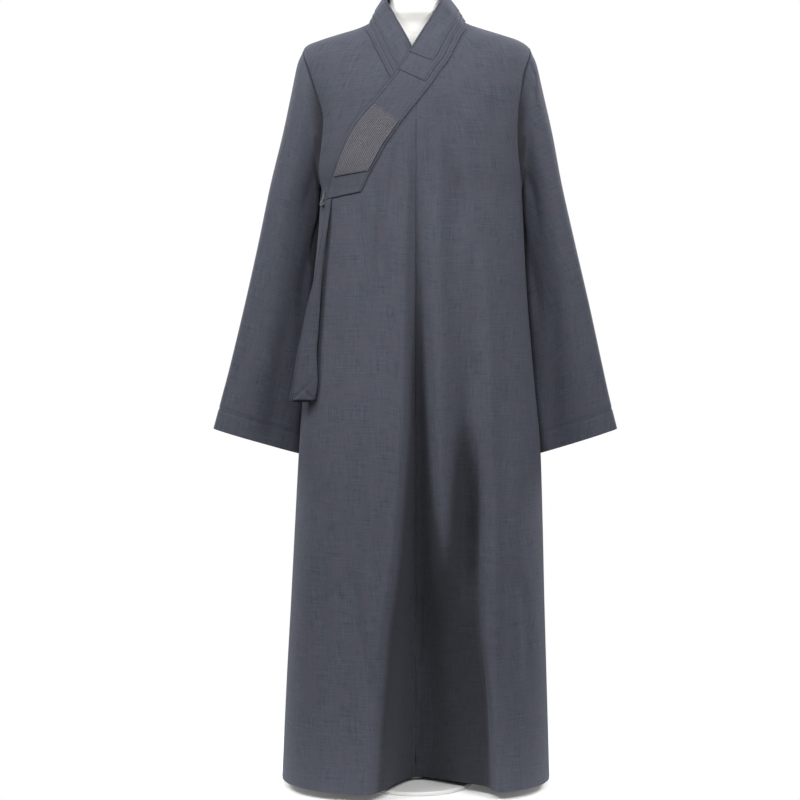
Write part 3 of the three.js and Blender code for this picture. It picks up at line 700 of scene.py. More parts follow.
def rolled(grid, edges, centre=None):
    """Turns a sheet's sewn edges in, so that a seam shows as a furrow beside a fine ridge.

    The seam along the centre is flatter on the chest. Each edge carries on inwards as its allowance.
    """
    u = edge_distances(grid, 1)
    z = grid[..., 2]
    drop = 0
    for edge in edges:
        away = u if edge == "first" else u[:, -1:] - u
        flat = ease((z - 860) / 200) if edge == centre else 0
        furrow = lerp(1.0, 0.35, flat) * np.clip(1 - away / SEAM_REACH, 0, 1) ** 2
        drop = drop + furrow - SEAM_RIDGE * (1 - flat) * np.exp(-(((away - 4.5) / 2.4) ** 2))
    shaped = moved(grid, -drop)
    inward = grid_normals(grid) * ALLOWANCE
    if "first" in edges:
        shaped = np.concatenate([shaped[:, :1] - inward[:, :1], shaped], axis=1)
    if "last" in edges:
        shaped = np.concatenate([shaped, shaped[:, -1:] - inward[:, -1:]], axis=1)
    return shaped


PUCKER_LOW, PUCKER_HIGH, PUCKER_SIZE = 0, 270, 2.2


def puckered(grid, seam_at_first):
    """Small pulled waves along the centre seam, strongest between two heights."""
    u = edge_distances(grid, 1)
    away = u - u[:, 1:2] if seam_at_first else u[:, -2:-1] - u
    away = np.maximum(away, 0)
    z = grid[..., 2]
    strength = ease((z - PUCKER_LOW + 60) / 90) * ease((PUCKER_HIGH + 80 - z) / 130)
    wave = np.sin(z / 4.1 + 1.3 * np.sin(z / 23)) + 0.6 * np.sin(z / 9.3 + 2)
    near = np.exp(-((away / 11) ** 1.5)) * (1 - np.exp(-away / 2.0))
    return moved(grid, PUCKER_SIZE * strength * wave * near * (0.7 + 0.3 * np.sin(z / 37)))


# Sleeves.
def body_side_x(side, y, z):
    y, z = np.broadcast_arrays(np.asarray(y, float), np.asarray(z, float))

    def ahead(angle):
        return section_point(BODY, angle * side, z, False)[..., 1]

    angle = solve(ahead, y, 60, 150, y.shape)
    return np.abs(section_point(BODY, angle * side, z, False)[..., 0])


def through(rings, places):
    """Smooth curves through a stack of rings, read at fractional ring numbers."""
    i = np.clip(np.floor(places).astype(int), 0, len(rings) - 2)
    t = (places - i)[:, None, None]
    padded = np.concatenate([2 * rings[:1] - rings[1:2], rings, 2 * rings[-1:] - rings[-2:-1]])
    a, b, c, d = padded[i], padded[i + 1], padded[i + 2], padded[i + 3]
    squared, cubed = 2 * a - 5 * b + 4 * c - d, 3 * b - a - 3 * c + d
    return 0.5 * (2 * b + (c - a) * t + squared * t**2 + cubed * t**3)


SLEEVE_STEPS = 96
SLEEVE_ALLOWANCE = 3.4  # turned in through the armhole
# The crease depth at which a sleeve's painted shade is full.
SLEEVE_PAINTED_SHADE_DEPTH = 60
PAINTED_CLEFT_SHADE_WIDTH = 8  # width of the painted shade in the narrow gap between a sleeve and the body
CUFF_HEM = 36


def sleeve_grid(side):
    """A sleeve's rings from the cuff up to the armhole, and its painted shade at each point: in its
    creases, beside the body and along the armhole seam.
    """
    turn = 2 * np.pi * np.arange(SLEEVE_STEPS) / SLEEVE_STEPS
    low = (1 - np.cos(turn)) / 2
    z = ARMHOLE_MIDDLE + (ARMHOLE_HALF_HEIGHT - SEAM) * np.cos(turn)
    front, back = (armhole_angle(z, side, is_front, SEAM) for is_front in (True, False))
    angle = np.where(turn < np.pi, front, back)
    armhole = body_lifted(angle, z, SEAM * low)
    rows = SLEEVE
    in_x = body_side_x(side, rows["in_y"], rows["in_z"]) + rows["gap"]
    out_x = rows["left"] if side > 0 else rows["right"]
    out = np.stack([out_x, rows["out_y"], rows["out_z"]], -1)
    inner = np.stack([in_x, rows["in_y"], rows["in_z"]], -1)
    middle = (out + inner) / 2
    rings = middle[:, None] + (out - middle)[:, None] * np.cos(turn)[None, :, None]
    drawn = 1 - rows["drawn"][:, None] * bell((turn / np.pi - 0.68) / 0.3)[None]
    flat = lerp(1.0, 0.62, ease(np.arange(len(rows["depth"])) / 4))[:, None]
    swell = np.sign(np.sin(turn)) * np.abs(np.sin(turn)) ** flat
    rings[..., 1] -= rows["depth"][:, None] * swell * np.where(turn < np.pi, drawn, 1)
    rings[..., 0] *= side
    stack = np.concatenate([armhole[None], rings])
    last = len(stack) - 1
    first, middle = np.linspace(0.12, 1, 10), np.linspace(1.08, last - 0.06, 116)
    places = np.concatenate([[0, 0.05], first, middle, [last - 0.02, last]])
    grid = through(stack, places)
    grid[0] = armhole
    along = np.linalg.norm(np.diff(grid.mean(1), axis=0), axis=-1)
    along = np.concatenate([[0], np.cumsum(along)])[:, None]
    round_size = np.linalg.norm(np.diff(grid, axis=1, append=grid[:, :1]), axis=-1).sum(1)[:, None]
    depth = np.zeros(grid.shape[:2])
    creases = SLEEVE_CREASES[side]
    degrees = np.degrees(turn)[None]
    for k in range(len(creases["turn"])):
        t0, a0, t1, a1, width, deep = (creases[name][k] for name in SLEEVE_CREASE.split())
        share = np.clip((along - a0) / (a1 - a0), 0, 1)
        away = (degrees - lerp(t0, t1, share) - 4 * np.sin(6 * share + k)) / 360 * round_size
        uneven = 1 + 0.25 * np.sin(8.3 * share + 1.9 * k)
        depth += deep * uneven * np.sin(np.pi * share) ** 0.8 * np.exp(-((away / width) ** 2))
    from_cuff = along[-1] - along
    depth += np.exp(-(((from_cuff - CUFF_HEM) / 1.7) ** 2))
    depth += 1.8 * np.exp(-((along / 2.6) ** 2)) * (along > 0)
    # Painted shade where the body shades the sleeve: in the gap beside it, under the arm and along the
    # armhole seam.
    side_x = body_side_x(side, np.clip(grid[..., 1], -40, 40), np.minimum(grid[..., 2], NECK))
    beside = np.abs(grid[..., 0]) - side_x
    painted_cleft_shade = np.clip(1.15 - beside / PAINTED_CLEFT_SHADE_WIDTH, 0, 1) * (np.cos(turn) < -0.2)
    painted_cleft_shade = np.maximum(painted_cleft_shade, np.exp(-((along / 11) ** 2)) * ease((low - 0.15) / 0.35)[None])
    painted_cleft_shade = np.maximum(painted_cleft_shade, 0.8 * np.exp(-((along / 3) ** 2)))
    allowance = body_lifted(angle, z, SEAM * low - SLEEVE_ALLOWANCE)
    grid, depth, painted_cleft_shade = grid[::-1], depth[::-1], painted_cleft_shade[::-1]
    if side > 0:
        grid, depth, painted_cleft_shade = (values[:, ::-1] for values in (grid, depth, painted_cleft_shade))
        allowance = allowance[::-1]
    # Painted shade, darker with a crease's depth and in the gap beside the body.
    painted_shade = np.clip(depth / SLEEVE_PAINTED_SHADE_DEPTH + 1.2 * painted_cleft_shade, 0, 1.3)
    painted_shade = np.concatenate([painted_shade, painted_shade[-1:]])
    return np.concatenate([moved(grid, -depth, True), allowance[None]]), painted_shade


# Collar.
def collar_grid(rows, row_list, shares, is_under):
    side = -1 if is_under else 1
    rows = dict(rows, out_angle=edge_angles(rows))

    def read(name):
        return column(rows, "row", name, row_list)[:, None]

    angle, height, chest = read("out_angle"), read("out_z"), read("chest")
    lift = BAND + REST * (2 - chest)
    depth = lap_depth(angle, height) if is_under else 0
    outer = body_lifted(angle[:, 0], height[:, 0], (lift - depth)[:, 0])
    neck = np.concatenate([read("in_x"), read("in_y"), read("in_z")], axis=1)
    share = shares[None, :, None]
    points = neck[:, None] * (1 - share) + outer[:, None] * share
    flat_x = lerp(read("in_x"), read("out_x"), shares[None])
    flat_z = lerp(read("in_z"), height, shares[None])
    flat_angle = angle_at_x(flat_x, flat_z)
    flat_depth = lap_depth(flat_angle, flat_z) if is_under else np.zeros(flat_x.shape)
    on_chest = body_lifted(flat_angle, flat_z, lift - flat_depth)
    points = lerp(points, on_chest, chest[..., None])
    if row_list[-1] == rows["row"][-1]:
        points[-1, :, 0] = side * SEAM / 2
    return points


def collar_rows(rows, first=0.0):
    last = rows["row"][-1]
    ends = [first, first + 0.02, first + 0.06, last - 0.04, last]
    return merged(4, ends, np.arange(first + 0.12, last - 0.05, 0.12))


def softened(grid, drop=1.0, reach=1.9):
    """Rounds off the free edges of a strip of folded cloth: its sides and its lower end."""
    u = edge_distances(grid, 1)
    edges = (u, u[:, -1:] - u, edge_distances(grid, 0))
    return moved(grid, -sum(drop * np.clip(1 - away / reach, 0, 1) ** 2 for away in edges))


def stitched(grid, at, depth=1.0, width=1.1):
    """Draws a grid in along a line of stitches, a distance from its first or, where at is negative,
    from its last column."""
    u = edge_distances(grid, 1)
    away = u - at if at > 0 else u[:, -1:] + at - u
    return moved(grid, -depth * np.exp(-((away / width) ** 2)))


def line_along(grid, at):
    """A run of stitches a distance from a grid's first column, or from its last where negative."""
    u = edge_distances(grid, 1)
    if at < 0:
        at = u[:, -1] + at
    at = np.broadcast_to(at, len(grid))
    normals = grid_normals(grid)
    return tuple(
        np.array([read_along(*run) for run in zip(at, u, values)]) for values in (grid, normals))


# Materials.
def feed(tree, socket, value):
    """Sets a socket to a number or a colour, or links another node's output to it."""
    if isinstance(value, bpy.types.NodeSocket):
        tree.links.new(value, socket)
    else:
        socket.default_value = value


def node(tree, kind, **values):
    made = tree.nodes.new(kind)
    for name, value in values.items():
        if name in made.inputs:
            feed(tree, made.inputs[name], value)
        else:
            setattr(made, name, value)
    return made


def feed_in_order(tree, made, values):
    for socket, value in zip(made.inputs, values):
        feed(tree, socket, value)
    return made.outputs[0]


def new_material(name, shading):
    material = bpy.data.materials.new(name)
    material.use_nodes = True
    tree = material.node_tree
    shader = tree.nodes["Principled BSDF"]
    for socket, value in shading.items():
        shader.inputs[socket].default_value = value
    return material, tree, shader.inputs


PAINTED_SHADE_TINT = (0.43, 0.42, 0.41)  # the share of its colour that the cloth keeps under full painted shade, deep in a fold


def weave_material(name, dark, light, warm, streak=1.0, bump=0.35):
    """A slubbed plain weave: warp and weft streaks, a soft heather, a fine bump of both threads, and
    painted shade.
    """
    material, tree, shader = new_material(name, {
        "Roughness": 0.86, "Specular IOR Level": 0.18, "Sheen Weight": 0.12,
        "Sheen Roughness": 0.45, "Sheen Tint": (0.75, 0.8, 0.95, 1)})
    cloth = node(tree, "ShaderNodeUVMap", uv_map="cloth").outputs["UV"]

    def streaks(across, along, detail):
        size = node(tree, "ShaderNodeMapping", Scale=(1 / across, 1 / along, 1), Vector=cloth)
        return node(
            tree, "ShaderNodeTexNoise", Scale=1.0, Detail=detail, Roughness=0.6,
            Vector=size.outputs["Vector"]).outputs["Fac"]

    def math(operation, *values):
        return feed_in_order(tree, node(tree, "ShaderNodeMath", operation=operation), values)

    def mix(a, b, factor, **kind):
        made = node(tree, "ShaderNodeMix", data_type="RGBA", **kind, A=a, B=b, Factor=factor)
        return made.outputs["Result"]

    warp = streaks(0.0011 * streak, 0.014 * streak, 2)
    weft = streaks(0.018 * streak, 0.0010 * streak, 2)
    broad_warp = streaks(0.0026 * streak, 0.045 * streak, 1)
    broad_weft = streaks(0.050 * streak, 0.0024 * streak, 1)
    threads = math("ADD", math("ADD", warp, weft), math("ADD", broad_warp, broad_weft))
    plain = mix(
        (*dark, 1), (*light, 1), math("MULTIPLY_ADD", threads, 1.15, -1.8), clamp_factor=True)
    heather, cloud = streaks(0.007, 0.009, 3), streaks(0.03, 0.04, 2)
    amount = math("MULTIPLY_ADD", math("ADD", heather, cloud), 2.2, -1.8)
    tinted = mix(plain, (*warm, 1), amount)
    # Painted shade: the mesh's attribute multiplies the colour down toward the tint, deep in folds.
    painted_shade = node(tree, "ShaderNodeAttribute", attribute_name="painted_shade").outputs["Fac"]
    shaded = mix(tinted, (*PAINTED_SHADE_TINT, 1), painted_shade, blend_type="MULTIPLY")
    feed(tree, shader["Base Color"], shaded)

    def ribs(axis, pitch):
        return node(
            tree, "ShaderNodeTexWave", wave_type="BANDS", bands_direction=axis, Vector=cloth,
            Scale=0.31416 / pitch, Distortion=1.2, **{"Detail Scale": 2.0}).outputs["Fac"]

    crossings = math("MULTIPLY", ribs("X", 0.00062), ribs("Y", 0.00066))
    height = math("ADD", crossings, math("MULTIPLY", threads, 0.9))
    relief = node(tree, "ShaderNodeBump", Strength=bump, Distance=0.00035, Height=height)
    feed(tree, shader["Normal"], relief.outputs["Normal"])
    return material


def plain_material(name, dark, light, scale, roughness, bump, sheen=0.0):
    """A quiet surface with fine grain and a little colour variation, in object coordinates."""
    material, tree, shader = new_material(name, {"Roughness": roughness, "Sheen Weight": sheen})
    place = node(tree, "ShaderNodeTexCoord").outputs["Object"]
    broad = node(tree, "ShaderNodeTexNoise", Scale=scale / 40, Detail=3.0, Vector=place)
    fine = node(tree, "ShaderNodeTexNoise", Scale=scale, Detail=2.0, Vector=place)
    colour = node(
        tree, "ShaderNodeMix", data_type="RGBA",
        A=(*dark, 1), B=(*light, 1), Factor=broad.outputs["Fac"])
    feed(tree, shader["Base Color"], colour.outputs["Result"])
    relief = node(tree, "ShaderNodeBump", Strength=bump, Distance=0.0002, Height=fine.outputs["Fac"])
    feed(tree, shader["Normal"], relief.outputs["Normal"])
    return material


CLOTH_DARK = (0.036, 0.042, 0.055)
CLOTH_LIGHT = (0.076, 0.086, 0.108)
CLOTH_WARM = (0.064, 0.064, 0.083)
ROBE = weave_material("robe_weave", CLOTH_DARK, CLOTH_LIGHT, CLOTH_WARM)
ROBE_BAND = weave_material("robe_band_weave", CLOTH_DARK, CLOTH_LIGHT, CLOTH_WARM, streak=0.9)
QUILT = weave_material(
    "quilted_weave", (0.090, 0.091, 0.108), (0.160, 0.160, 0.182), (0.132, 0.127, 0.146), streak=0.9)
# The threads are far darker than the cloth: the dark lines of stitches are partly the thread and partly
# painted shade of their furrows.
THREAD_AND_PAINTED_SHADE = plain_material("stitching_thread_and_painted_shade", (0.010, 0.011, 0.014), (0.018, 0.020, 0.025), 4000, 0.7, 0.2)
QUILT_THREAD_AND_PAINTED_SHADE = plain_material(
    "quilting_thread_and_painted_shade", (0.012, 0.012, 0.015), (0.022, 0.022, 0.026), 4000, 0.7, 0.2)
# The cord's colour, lighter than the robe's cloth, is a painted highlight on the knot.
CORD = weave_material(
    "knotted_cord_painted_highlight", (0.06, 0.066, 0.08), (0.16, 0.17, 0.20), (0.12, 0.12, 0.14), streak=0.5, bump=0.5)
COVER = plain_material(
    "form_jersey", (0.69, 0.675, 0.655), (0.77, 0.755, 0.735), 2600, 0.85, 0.5, sheen=0.1)
METAL = plain_material("stand_paint", (0.60, 0.60, 0.59), (0.66, 0.66, 0.65), 900, 0.38, 0.15)

# The panels of the body.
FRONT_LEAN = 0.35
front_shares = edge_shares(92, FRONT_LEAN)
back_shares = edge_shares(84)


def flipped(shares):
    return np.sort(1 - shares)


front_left = panel_grid(
    front_shares, centre_angle(0, 1), side_angle(1, True, -1), (0, 1), neckline(COLLAR_LEFT))
front_left = puckered(rolled(front_left, ("first", "last"), "first"), True)
overlap = panel_grid(
    flipped(front_shares), side_angle(-1, True, 1), centre_angle(0, -1), (-1, 0),
    neckline(COLLAR_LEFT, [(-70, 1041), (-90, 1039)]))
overlap = puckered(rolled(overlap, ("first", "last"), "last"), False)
past_middle = [1.03, 1.06, 1.09, 1.12, 1.15]
under_shares = np.concatenate([flipped(edge_shares(60, FRONT_LEAN)), past_middle])
under = panel_grid(
    under_shares, side_angle(-1, True, 1), centre_angle(0, 0), (-1, 0),
    neckline(COLLAR_RIGHT, [(20, 1122)]), lambda angle, z: -lap_depth(angle, z))
under = rolled(under, ("first",))
back_left = rolled(panel_grid(
    flipped(back_shares), side_angle(1, False, 1), centre_angle(180, -1), (2, 0), neckline(COLLAR_LEFT)),
    ("first", "last"), "last")
back_right = rolled(panel_grid(
    back_shares, centre_angle(-180, 1), side_angle(-1, False, -1), (0, -2), neckline(COLLAR_RIGHT)),
    ("first", "last"), "first")

# The painted shade of the folds: the depth where it starts, and how much deeper it is full.
PAINTED_SHADE_START, PAINTED_SHADE_DEPTH = 8, 20


def panel_painted_shade(grid, is_front):
    """The painted shade on a panel's points, from 0 to 1, growing with their depth in folds and creases.
    """
    x, z = grid[..., 0], grid[..., 2]
    folds, creases = (FRONT_FOLDS, FRONT_CREASES) if is_front else (BACK_FOLDS, BACK_CREASES)
    depth = fold_depth(folds, x, z) + crease_depth(creases, x, z)
    return ease((depth - PAINTED_SHADE_START) / PAINTED_SHADE_DEPTH)


for name, grid, seam_column, width, area in (
    ("front_left", front_left, 0, 0.40, 0.42),
    ("front_overlap", overlap, -1, 0.40, 0.36),
    ("front_right_under", under, -1, 0.44, 0.46),
    ("back_left", back_left, -1, 0.36, 0.40),
    ("back_right", back_right, 0, 0.36, 0.40),
):
    painted_shade = panel_painted_shade(grid, name.startswith("front"))
    piece = sheet_piece("cloth_" + name, grid, CLOTH, origin_column=seam_column, painted_shade=painted_shade)
    finish_piece(piece, ROBE, "robe_cloth", name)

# The sleeves, each one tube from the armhole to the cuff, with its hem stitched.
for side, name in ((1, "sleeve_left"), (-1, "sleeve_right")):
    grid, painted_shade = sleeve_grid(side)
    piece = sheet_piece("cloth_" + name, grid, CLOTH, ring=True, painted_shade=painted_shade)
    finish_piece(piece, ROBE, "robe_cloth", name)
    heights = edge_distances(grid, 0)
    at = np.array([read_along(CUFF_HEM, heights[:, j], grid[:, j]) for j in range(SLEEVE_STEPS)])
    out = grid_normals(grid, True)
    row = int(np.argmin(np.abs(heights.mean(1) - CUFF_HEM)))
    loop = np.concatenate([at, at[:1]]), np.concatenate([out[row], out[row][:1]])
    stitches = stitch_mesh(name + "_hem_stitches", [loop], length=2.4, radius=0.36)
    finish_piece(stitches, THREAD_AND_PAINTED_SHADE, "robe_cloth")

# The collar's two bands, with their strips, patch and stitches.
BAND_COLUMNS = merged(5, np.linspace(0, 1, 58), [0.012, 0.026, 0.974, 0.988])


def collar_layer(name, rows, is_under, layer, first_row, thickness):
    """The band (layer 0) or one of its strips, with its stitches."""
    shares = BAND_COLUMNS * STRIP_WIDTHS.get(layer, 1)
    grid = collar_grid(rows, collar_rows(rows, first_row), shares, is_under)
    if is_under:
        grid = grid[:, ::-1]
    end_x = grid[-1, 0, 0]
    grid = moved(grid, layer * (LAYER + SEAM))
    grid[-1, :, 0] = end_x
    near_neck = -TOPSTITCH if is_under else TOPSTITCH
    near_edge = EDGE_STITCH if is_under else -EDGE_STITCH
    grid = stitched(stitched(softened(grid), near_neck), near_edge, 0.5)
    piece = sheet_piece("cloth_" + name, grid, thickness)
    finish_piece(piece, ROBE_BAND, "robe_cloth", name)
    runs = [line_along(grid, near_edge)]
    if layer != 1:
        runs.append(line_along(grid, near_neck))
    stitches = stitch_mesh(name + "_stitches", runs, pitch=2.8, length=2.4, radius=0.42)
    finish_piece(stitches, THREAD_AND_PAINTED_SHADE, "robe_cloth")


collar_layer("collar_left", COLLAR_LEFT, False, 0, 0, BAND)
collar_layer("collar_right", COLLAR_RIGHT, True, 0, 0, BAND)
collar_layer("collar_strip_2_left", COLLAR_LEFT, False, 1, SECOND_STRIP_END, LAYER)
collar_layer("collar_strip_3_left", COLLAR_LEFT, False, 2, THIRD_STRIP_END, LAYER)
collar_layer("collar_strip_2_right", COLLAR_RIGHT, True, 1, 0.5, LAYER)
collar_layer("collar_strip_3_right", COLLAR_RIGHT, True, 2, 1.0, LAYER)

# The quilted patch: close rows of stitches along the band, with the cloth puffed between them.
quilt_shares = np.linspace(*QUILTED_SHARES, 8 * QUILTED_LINES + 1)
quilt_rows = np.linspace(*QUILTED_ROWS, 84)
quilt = collar_grid(COLLAR_LEFT, quilt_rows, quilt_shares, False)
quilt_turn = np.linspace(0, np.pi * QUILTED_LINES, len(quilt_shares))
puff = 0.95 * np.abs(np.sin(quilt_turn)) ** 0.6
wobble = 1 + 0.18 * np.sin(quilt_rows * 21)[:, None] * np.sin(quilt_shares * 90)[None]
quilt = moved(quilt, LAYER + SEAM - 0.3 + puff[None] * wobble)
quilt = softened(quilt, 0.5, 1.2)
# Painted shade in the troughs between the rows of quilting.
quilt_trough_shade = 1.2 * (1 - np.abs(np.sin(quilt_turn)))
piece = sheet_piece("cloth_collar_quilted_patch", quilt, PATCH, painted_shade=quilt_trough_shade)
finish_piece(piece, QUILT, "robe_cloth", "collar_quilted_patch")
quilt_out = grid_normals(quilt)
runs = []
for line in range(1, QUILTED_LINES):
    path = quilt[:, 8 * line]
    runs.append((path + quilt_out[:, 8 * line] * 0.08, quilt_out[:, 8 * line]))
runs.append((quilt[-2], quilt_out[-2]))
stitches = stitch_mesh("quilting_stitches", runs, pitch=2.5, length=2.35, radius=0.46)
finish_piece(stitches, QUILT_THREAD_AND_PAINTED_SHADE, "robe_cloth")

# The ties.
TIE_COLUMNS = merged(4, np.linspace(0, 1, 25), [0.02, 0.98])


def tie_rows(row_list):
    def read(name):
        return column(TIE, "row", name, row_list)[:, None]

    share = TIE_COLUMNS[None]
    x = lerp(read("left"), read("right"), share)
    y = read("y") + read("fold") * (1 - share) ** 2
    z = np.broadcast_to(read("z"), x.shape)
    return np.stack([x, y, z], -1)


def tie_shape(grid, seed):
    """Soft bends along a tie, creased corners at its end and a ridge where its side is folded."""
    share = TIE_COLUMNS[None]
    drop = grid[..., 2] - grid[..., 2].min()
    bend = 1.1 * np.sin(drop / 31 + seed) * np.sin(np.pi * share)
    corner = 1.8 * np.exp(-(((drop - 46 * share) / 5) ** 2)) * np.exp(-((drop / 30) ** 2))
    other = 1.6 * np.exp(-(((drop - 30 * (1 - share)) / 4) ** 2)) * np.exp(-((drop / 22) ** 2))
    return moved(grid, bend - corner - other)


def add_tie(name, grid, seed):
    grid = softened(tie_shape(grid[::-1], seed), 0.6, 1.4)
    # Painted shade over the whole tie, darkening its colour evenly.
    piece = sheet_piece("cloth_" + name, grid, CLOTH, painted_shade=0.35)
    finish_piece(piece, ROBE, "robe_cloth", name)
    runs = [line_along(grid, at) for at in (TIE_STITCH, -TIE_STITCH)]
    stitches = stitch_mesh(name + "_stitches", runs, radius=0.24)
    finish_piece(stitches, THREAD_AND_PAINTED_SHADE, "robe_cloth")


fine_rows = np.linspace(1, 9, 92)
hanging = tie_rows(fine_rows)
collar_end = collar_grid(COLLAR_LEFT, np.array([0.0, 1.0]), TIE_TOP_SHARE * TIE_COLUMNS, False)[0]
collar_end[:, 2] -= SEAM + 0.1
key_rows = np.concatenate([collar_end[None], tie_rows(np.arange(1, 10.0))])
outer_tie = through(key_rows, np.linspace(0, 9, 110))
add_tie("tie_outer", outer_tie, 0.4)
down = ((fine_rows - 1) / 8)[:, None]
shift = np.stack([TIE_SHIFT[0] * down, lerp(*TIE_BEHIND, down), TIE_SHIFT[1] * down], -1)
add_tie("tie_inner", hanging + shift, 2.1)

# The knot button and the cord loop that holds it.
KNOT_ANGLE, KNOT_HEIGHT = np.array(-74.0), np.array(1036.0)
knot_centre = body_lifted(KNOT_ANGLE, KNOT_HEIGHT, KNOT_RADIUS - 1.0)
facing = body_normal(KNOT_ANGLE, KNOT_HEIGHT)
sideways = unit(np.cross(facing, (0, 0, 1)))
upwards = np.cross(sideways, facing)
turns = np.linspace(0, 2 * np.pi, 240, endpoint=False)
WINDS, LOBES = 3, 4
RING_RADIUS, LOBE_RADIUS = 2.75, 2.0
reach = RING_RADIUS + LOBE_RADIUS * np.cos(LOBES * turns)
knot_path = (
    knot_centre
    + (reach * np.cos(WINDS * turns))[:, None] * sideways
    + (reach * np.sin(WINDS * turns))[:, None] * upwards
    + (1.5 * LOBE_RADIUS * np.sin(LOBES * turns))[:, None] * facing
)
knot = tube_piece("cord_knot_button", knot_path, KNOT_CORD, 10, True)
finish_piece(knot, CORD, "robe_cord", "knot_button")
loop_lift = CORD_RADIUS + 0.4
loop_keys = np.array([
    body_lifted(np.array(angle), np.array(z), loop_lift + lift)
    for angle, z, lift in (
        (-74.5, 1042.5, 1.6), (-75.5, 1046.0, -0.4), (-76.0, 1050.5, -1.4), (-76.0, 1058.0, -2.7))
])
loop_path = through(loop_keys[:, None], np.linspace(0, 3, 40))[:, 0]
finish_piece(tube_piece("cord_knot_loop", loop_path, CORD_RADIUS, 12), CORD, "robe_cord", "knot_loop")


# The dress form and its stand.
def form_grid():
    angles = to_angle(np.arange(0, 360, 3.0))
    heights = np.concatenate([np.arange(710, 1208, 12), np.arange(1208, 1353, 4)])
    z, angle = np.meshgrid(heights, angles, indexing="ij")
    own = section_point(FORM, angle, z, False)
    ahead = np.cos(np.radians(angle))
    deepest = np.where(ahead > 0, FORM_CHEST_INSET, FORM_CHEST_INSET / 3)
    inset = deepest * ease(np.abs(ahead) * 1.4 - 0.25)
    carried = body_lifted(angle, z, -CLOTH - FORM_SEAT - inset)
    torso = lerp(own, carried, ease((z - FORM_LOW) / (FORM_JOIN - FORM_LOW))[..., None])
    neck_heights = np.concatenate([np.linspace(1360, 1478, 40), np.linspace(1479, 1486, 8)])
    z, angle = np.meshgrid(neck_heights, np.radians(angles), indexing="ij")
    half = column(FORM_NECK, "z", "half", z)
    front, back = (column(FORM_NECK, "z", name, z) for name in ("front", "back"))
    deep = np.where(np.cos(angle) > 0, front, back)
    r = 1 / np.hypot(np.sin(angle) / half, np.cos(angle) / deep)
    neck = np.stack([r * np.sin(angle), -r * np.cos(angle) - FORWARD, z], -1)
    return np.concatenate([torso, neck])


def closed_ring_piece(name, grid):
    """A closed body through level rings, with flat ends."""
    rows, columns = grid.shape[:2]
    faces, _, _ = grid_faces(rows, columns, True)
    points = np.concatenate([grid.reshape(-1, 3), grid[0].mean(0)[None], grid[-1].mean(0)[None]])
    low, high, top = rows * columns, rows * columns + 1, (rows - 1) * columns
    around = [(j, (j + 1) % columns) for j in range(columns)]
    caps = [(low, b, a) for a, b in around] + [(high, top + a, top + b) for a, b in around]
    piece = new_mesh(name, points, faces.tolist() + caps)
    piece.modifiers.new("edges", "EDGE_SPLIT").split_angle = np.radians(50)
    return piece


def turned_piece(name, profile, steps=96):
    angles = np.linspace(0, 2 * np.pi, steps, endpoint=False)
    rings = [[(r * np.cos(a), r * np.sin(a), z) for a in angles] for r, z in profile]
    return closed_ring_piece(name, np.array(rings, float))


finish_piece(closed_ring_piece("form_torso_cover", form_grid()), COVER, "form_cover", "form_torso")
pole = [(POLE_RADIUS, z) for z in (BASE_HEIGHT + SEAM, FORM["z"][0] - SEAM)]
finish_piece(turned_piece("stand_pole_tube", pole, 48), METAL, "stand_metal", "stand_pole")
rim = 2  # radius of the disc's rounded edges
corner = [np.radians(a) for a in range(0, 91, 15)]
profile = [(BASE_RADIUS - rim + rim * np.sin(a), rim - rim * np.cos(a)) for a in corner]
profile += [(BASE_RADIUS - rim + rim * np.cos(a), BASE_HEIGHT - rim + rim * np.sin(a)) for a in corner]
finish_piece(turned_piece("stand_base_disc", profile), METAL, "stand_metal", "stand_base")

# The stage: a small pale floor that ends softly in an even white surround, and soft light.
FLOOR_RADIUS = 0.6


def floor_material():
    material = plain_material("floor_paint", (0.86, 0.86, 0.86), (0.88, 0.88, 0.88), 60, 0.9, 0.02)
    tree = material.node_tree
    shader = tree.nodes["Principled BSDF"]
    shader.inputs["Emission Color"].default_value = (1, 1, 1, 1)
    shader.inputs["Emission Strength"].default_value = 0.1
    place = node(tree, "ShaderNodeTexCoord").outputs["Object"]
    radius = node(tree, "ShaderNodeVectorMath", operation="LENGTH", Vector=place)
    fade = node(tree, "ShaderNodeMapRange", interpolation_type="SMOOTHSTEP", **{
        "Value": radius.outputs["Value"], "From Min": 0.15, "From Max": 0.95 * FLOOR_RADIUS})
    clear = node(tree, "ShaderNodeBsdfTransparent")
    faded = feed_in_order(tree, node(tree, "ShaderNodeMixShader"), (
        fade.outputs["Result"], shader.outputs["BSDF"], clear.outputs["BSDF"]))
    feed(tree, tree.nodes["Material Output"].inputs["Surface"], faded)
    return material


bpy.ops.mesh.primitive_circle_add(
    vertices=96, radius=FLOOR_RADIUS, fill_type="NGON", location=(0, 0, -0.0006))
floor = bpy.context.object
floor.name = "floor"
floor.data.materials.append(floor_material())

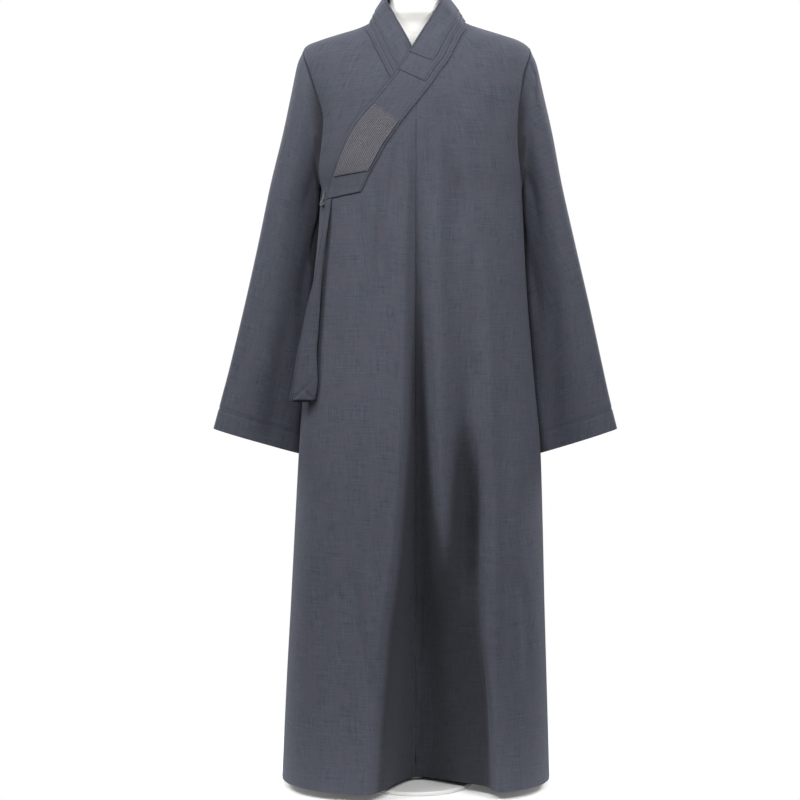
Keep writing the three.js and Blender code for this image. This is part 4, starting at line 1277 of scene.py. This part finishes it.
# The surround is white where it is seen. It lights the robe less than that, and more from above.
SURROUND_LIGHT = (0.08, 0.52)
world = bpy.data.worlds.new("studio")
bpy.context.scene.world = world
world.use_nodes = True
tree = world.node_tree
seen = tree.nodes["Background"]
seen.inputs["Color"].default_value = (1, 1, 1, 1)
direction = node(tree, "ShaderNodeTexCoord").outputs["Generated"]
rise = node(tree, "ShaderNodeSeparateXYZ", Vector=direction).outputs["Z"]
strength = node(tree, "ShaderNodeMapRange", **{
    "Value": rise, "From Min": -0.3, "From Max": 0.5,
    "To Min": SURROUND_LIGHT[0], "To Max": SURROUND_LIGHT[1]})
lit = node(tree, "ShaderNodeBackground", Color=(1, 1, 1, 1), Strength=strength.outputs["Result"])
rays = node(tree, "ShaderNodeLightPath")
surround = feed_in_order(tree, node(tree, "ShaderNodeMixShader"), (
    rays.outputs["Is Camera Ray"], lit.outputs["Background"], seen.outputs["Background"]))
feed(tree, tree.nodes["World Output"].inputs["Surface"], surround)


def soft_light(name, place, target, size, power):
    data = bpy.data.lights.new(name, "AREA")
    data.shape = "DISK"
    data.size = size
    data.energy = power
    lamp = add_object(name, data)
    lamp.location = place
    aim = add_object(name + "_aim", None)
    aim.location = target
    follow = lamp.constraints.new("TRACK_TO")
    follow.target = aim
    follow.track_axis = "TRACK_NEGATIVE_Z"
    follow.up_axis = "UP_Y"
    lamp.visible_camera = False


soft_light("key", (-1.95, -1.1, 2.5), (0, 0, 1.15), 1.0, 48)
soft_light("side", (1.65, -1.75, 2.35), (0, 0, 1.15), 1.0, 45)
soft_light("front", (-0.45, -2.6, 2.65), (0, 0, 1.15), 1.4, 57)
soft_light("back_left", (2.3, 1.5, 2.2), (0, 0, 1.0), 1.2, 75)
soft_light("back_right", (-2.3, 1.7, 2.0), (0, 0, 1.0), 1.2, 50)

# The camera, level and a little above the garment's middle, framed by a vertical shift.
CAMERA_PLACE = (-27.9, -3400, 866)
view = bpy.data.cameras.new("camera")
view.lens = 85
view.sensor_width = 36
view.shift_y = -0.125
camera = add_object("camera", view)
camera.location = [c * MM for c in CAMERA_PLACE]
camera.rotation_euler = (np.pi / 2, 0, 0)
bpy.context.scene.camera = camera
bpy.context.scene.view_settings.view_transform = "Standard"
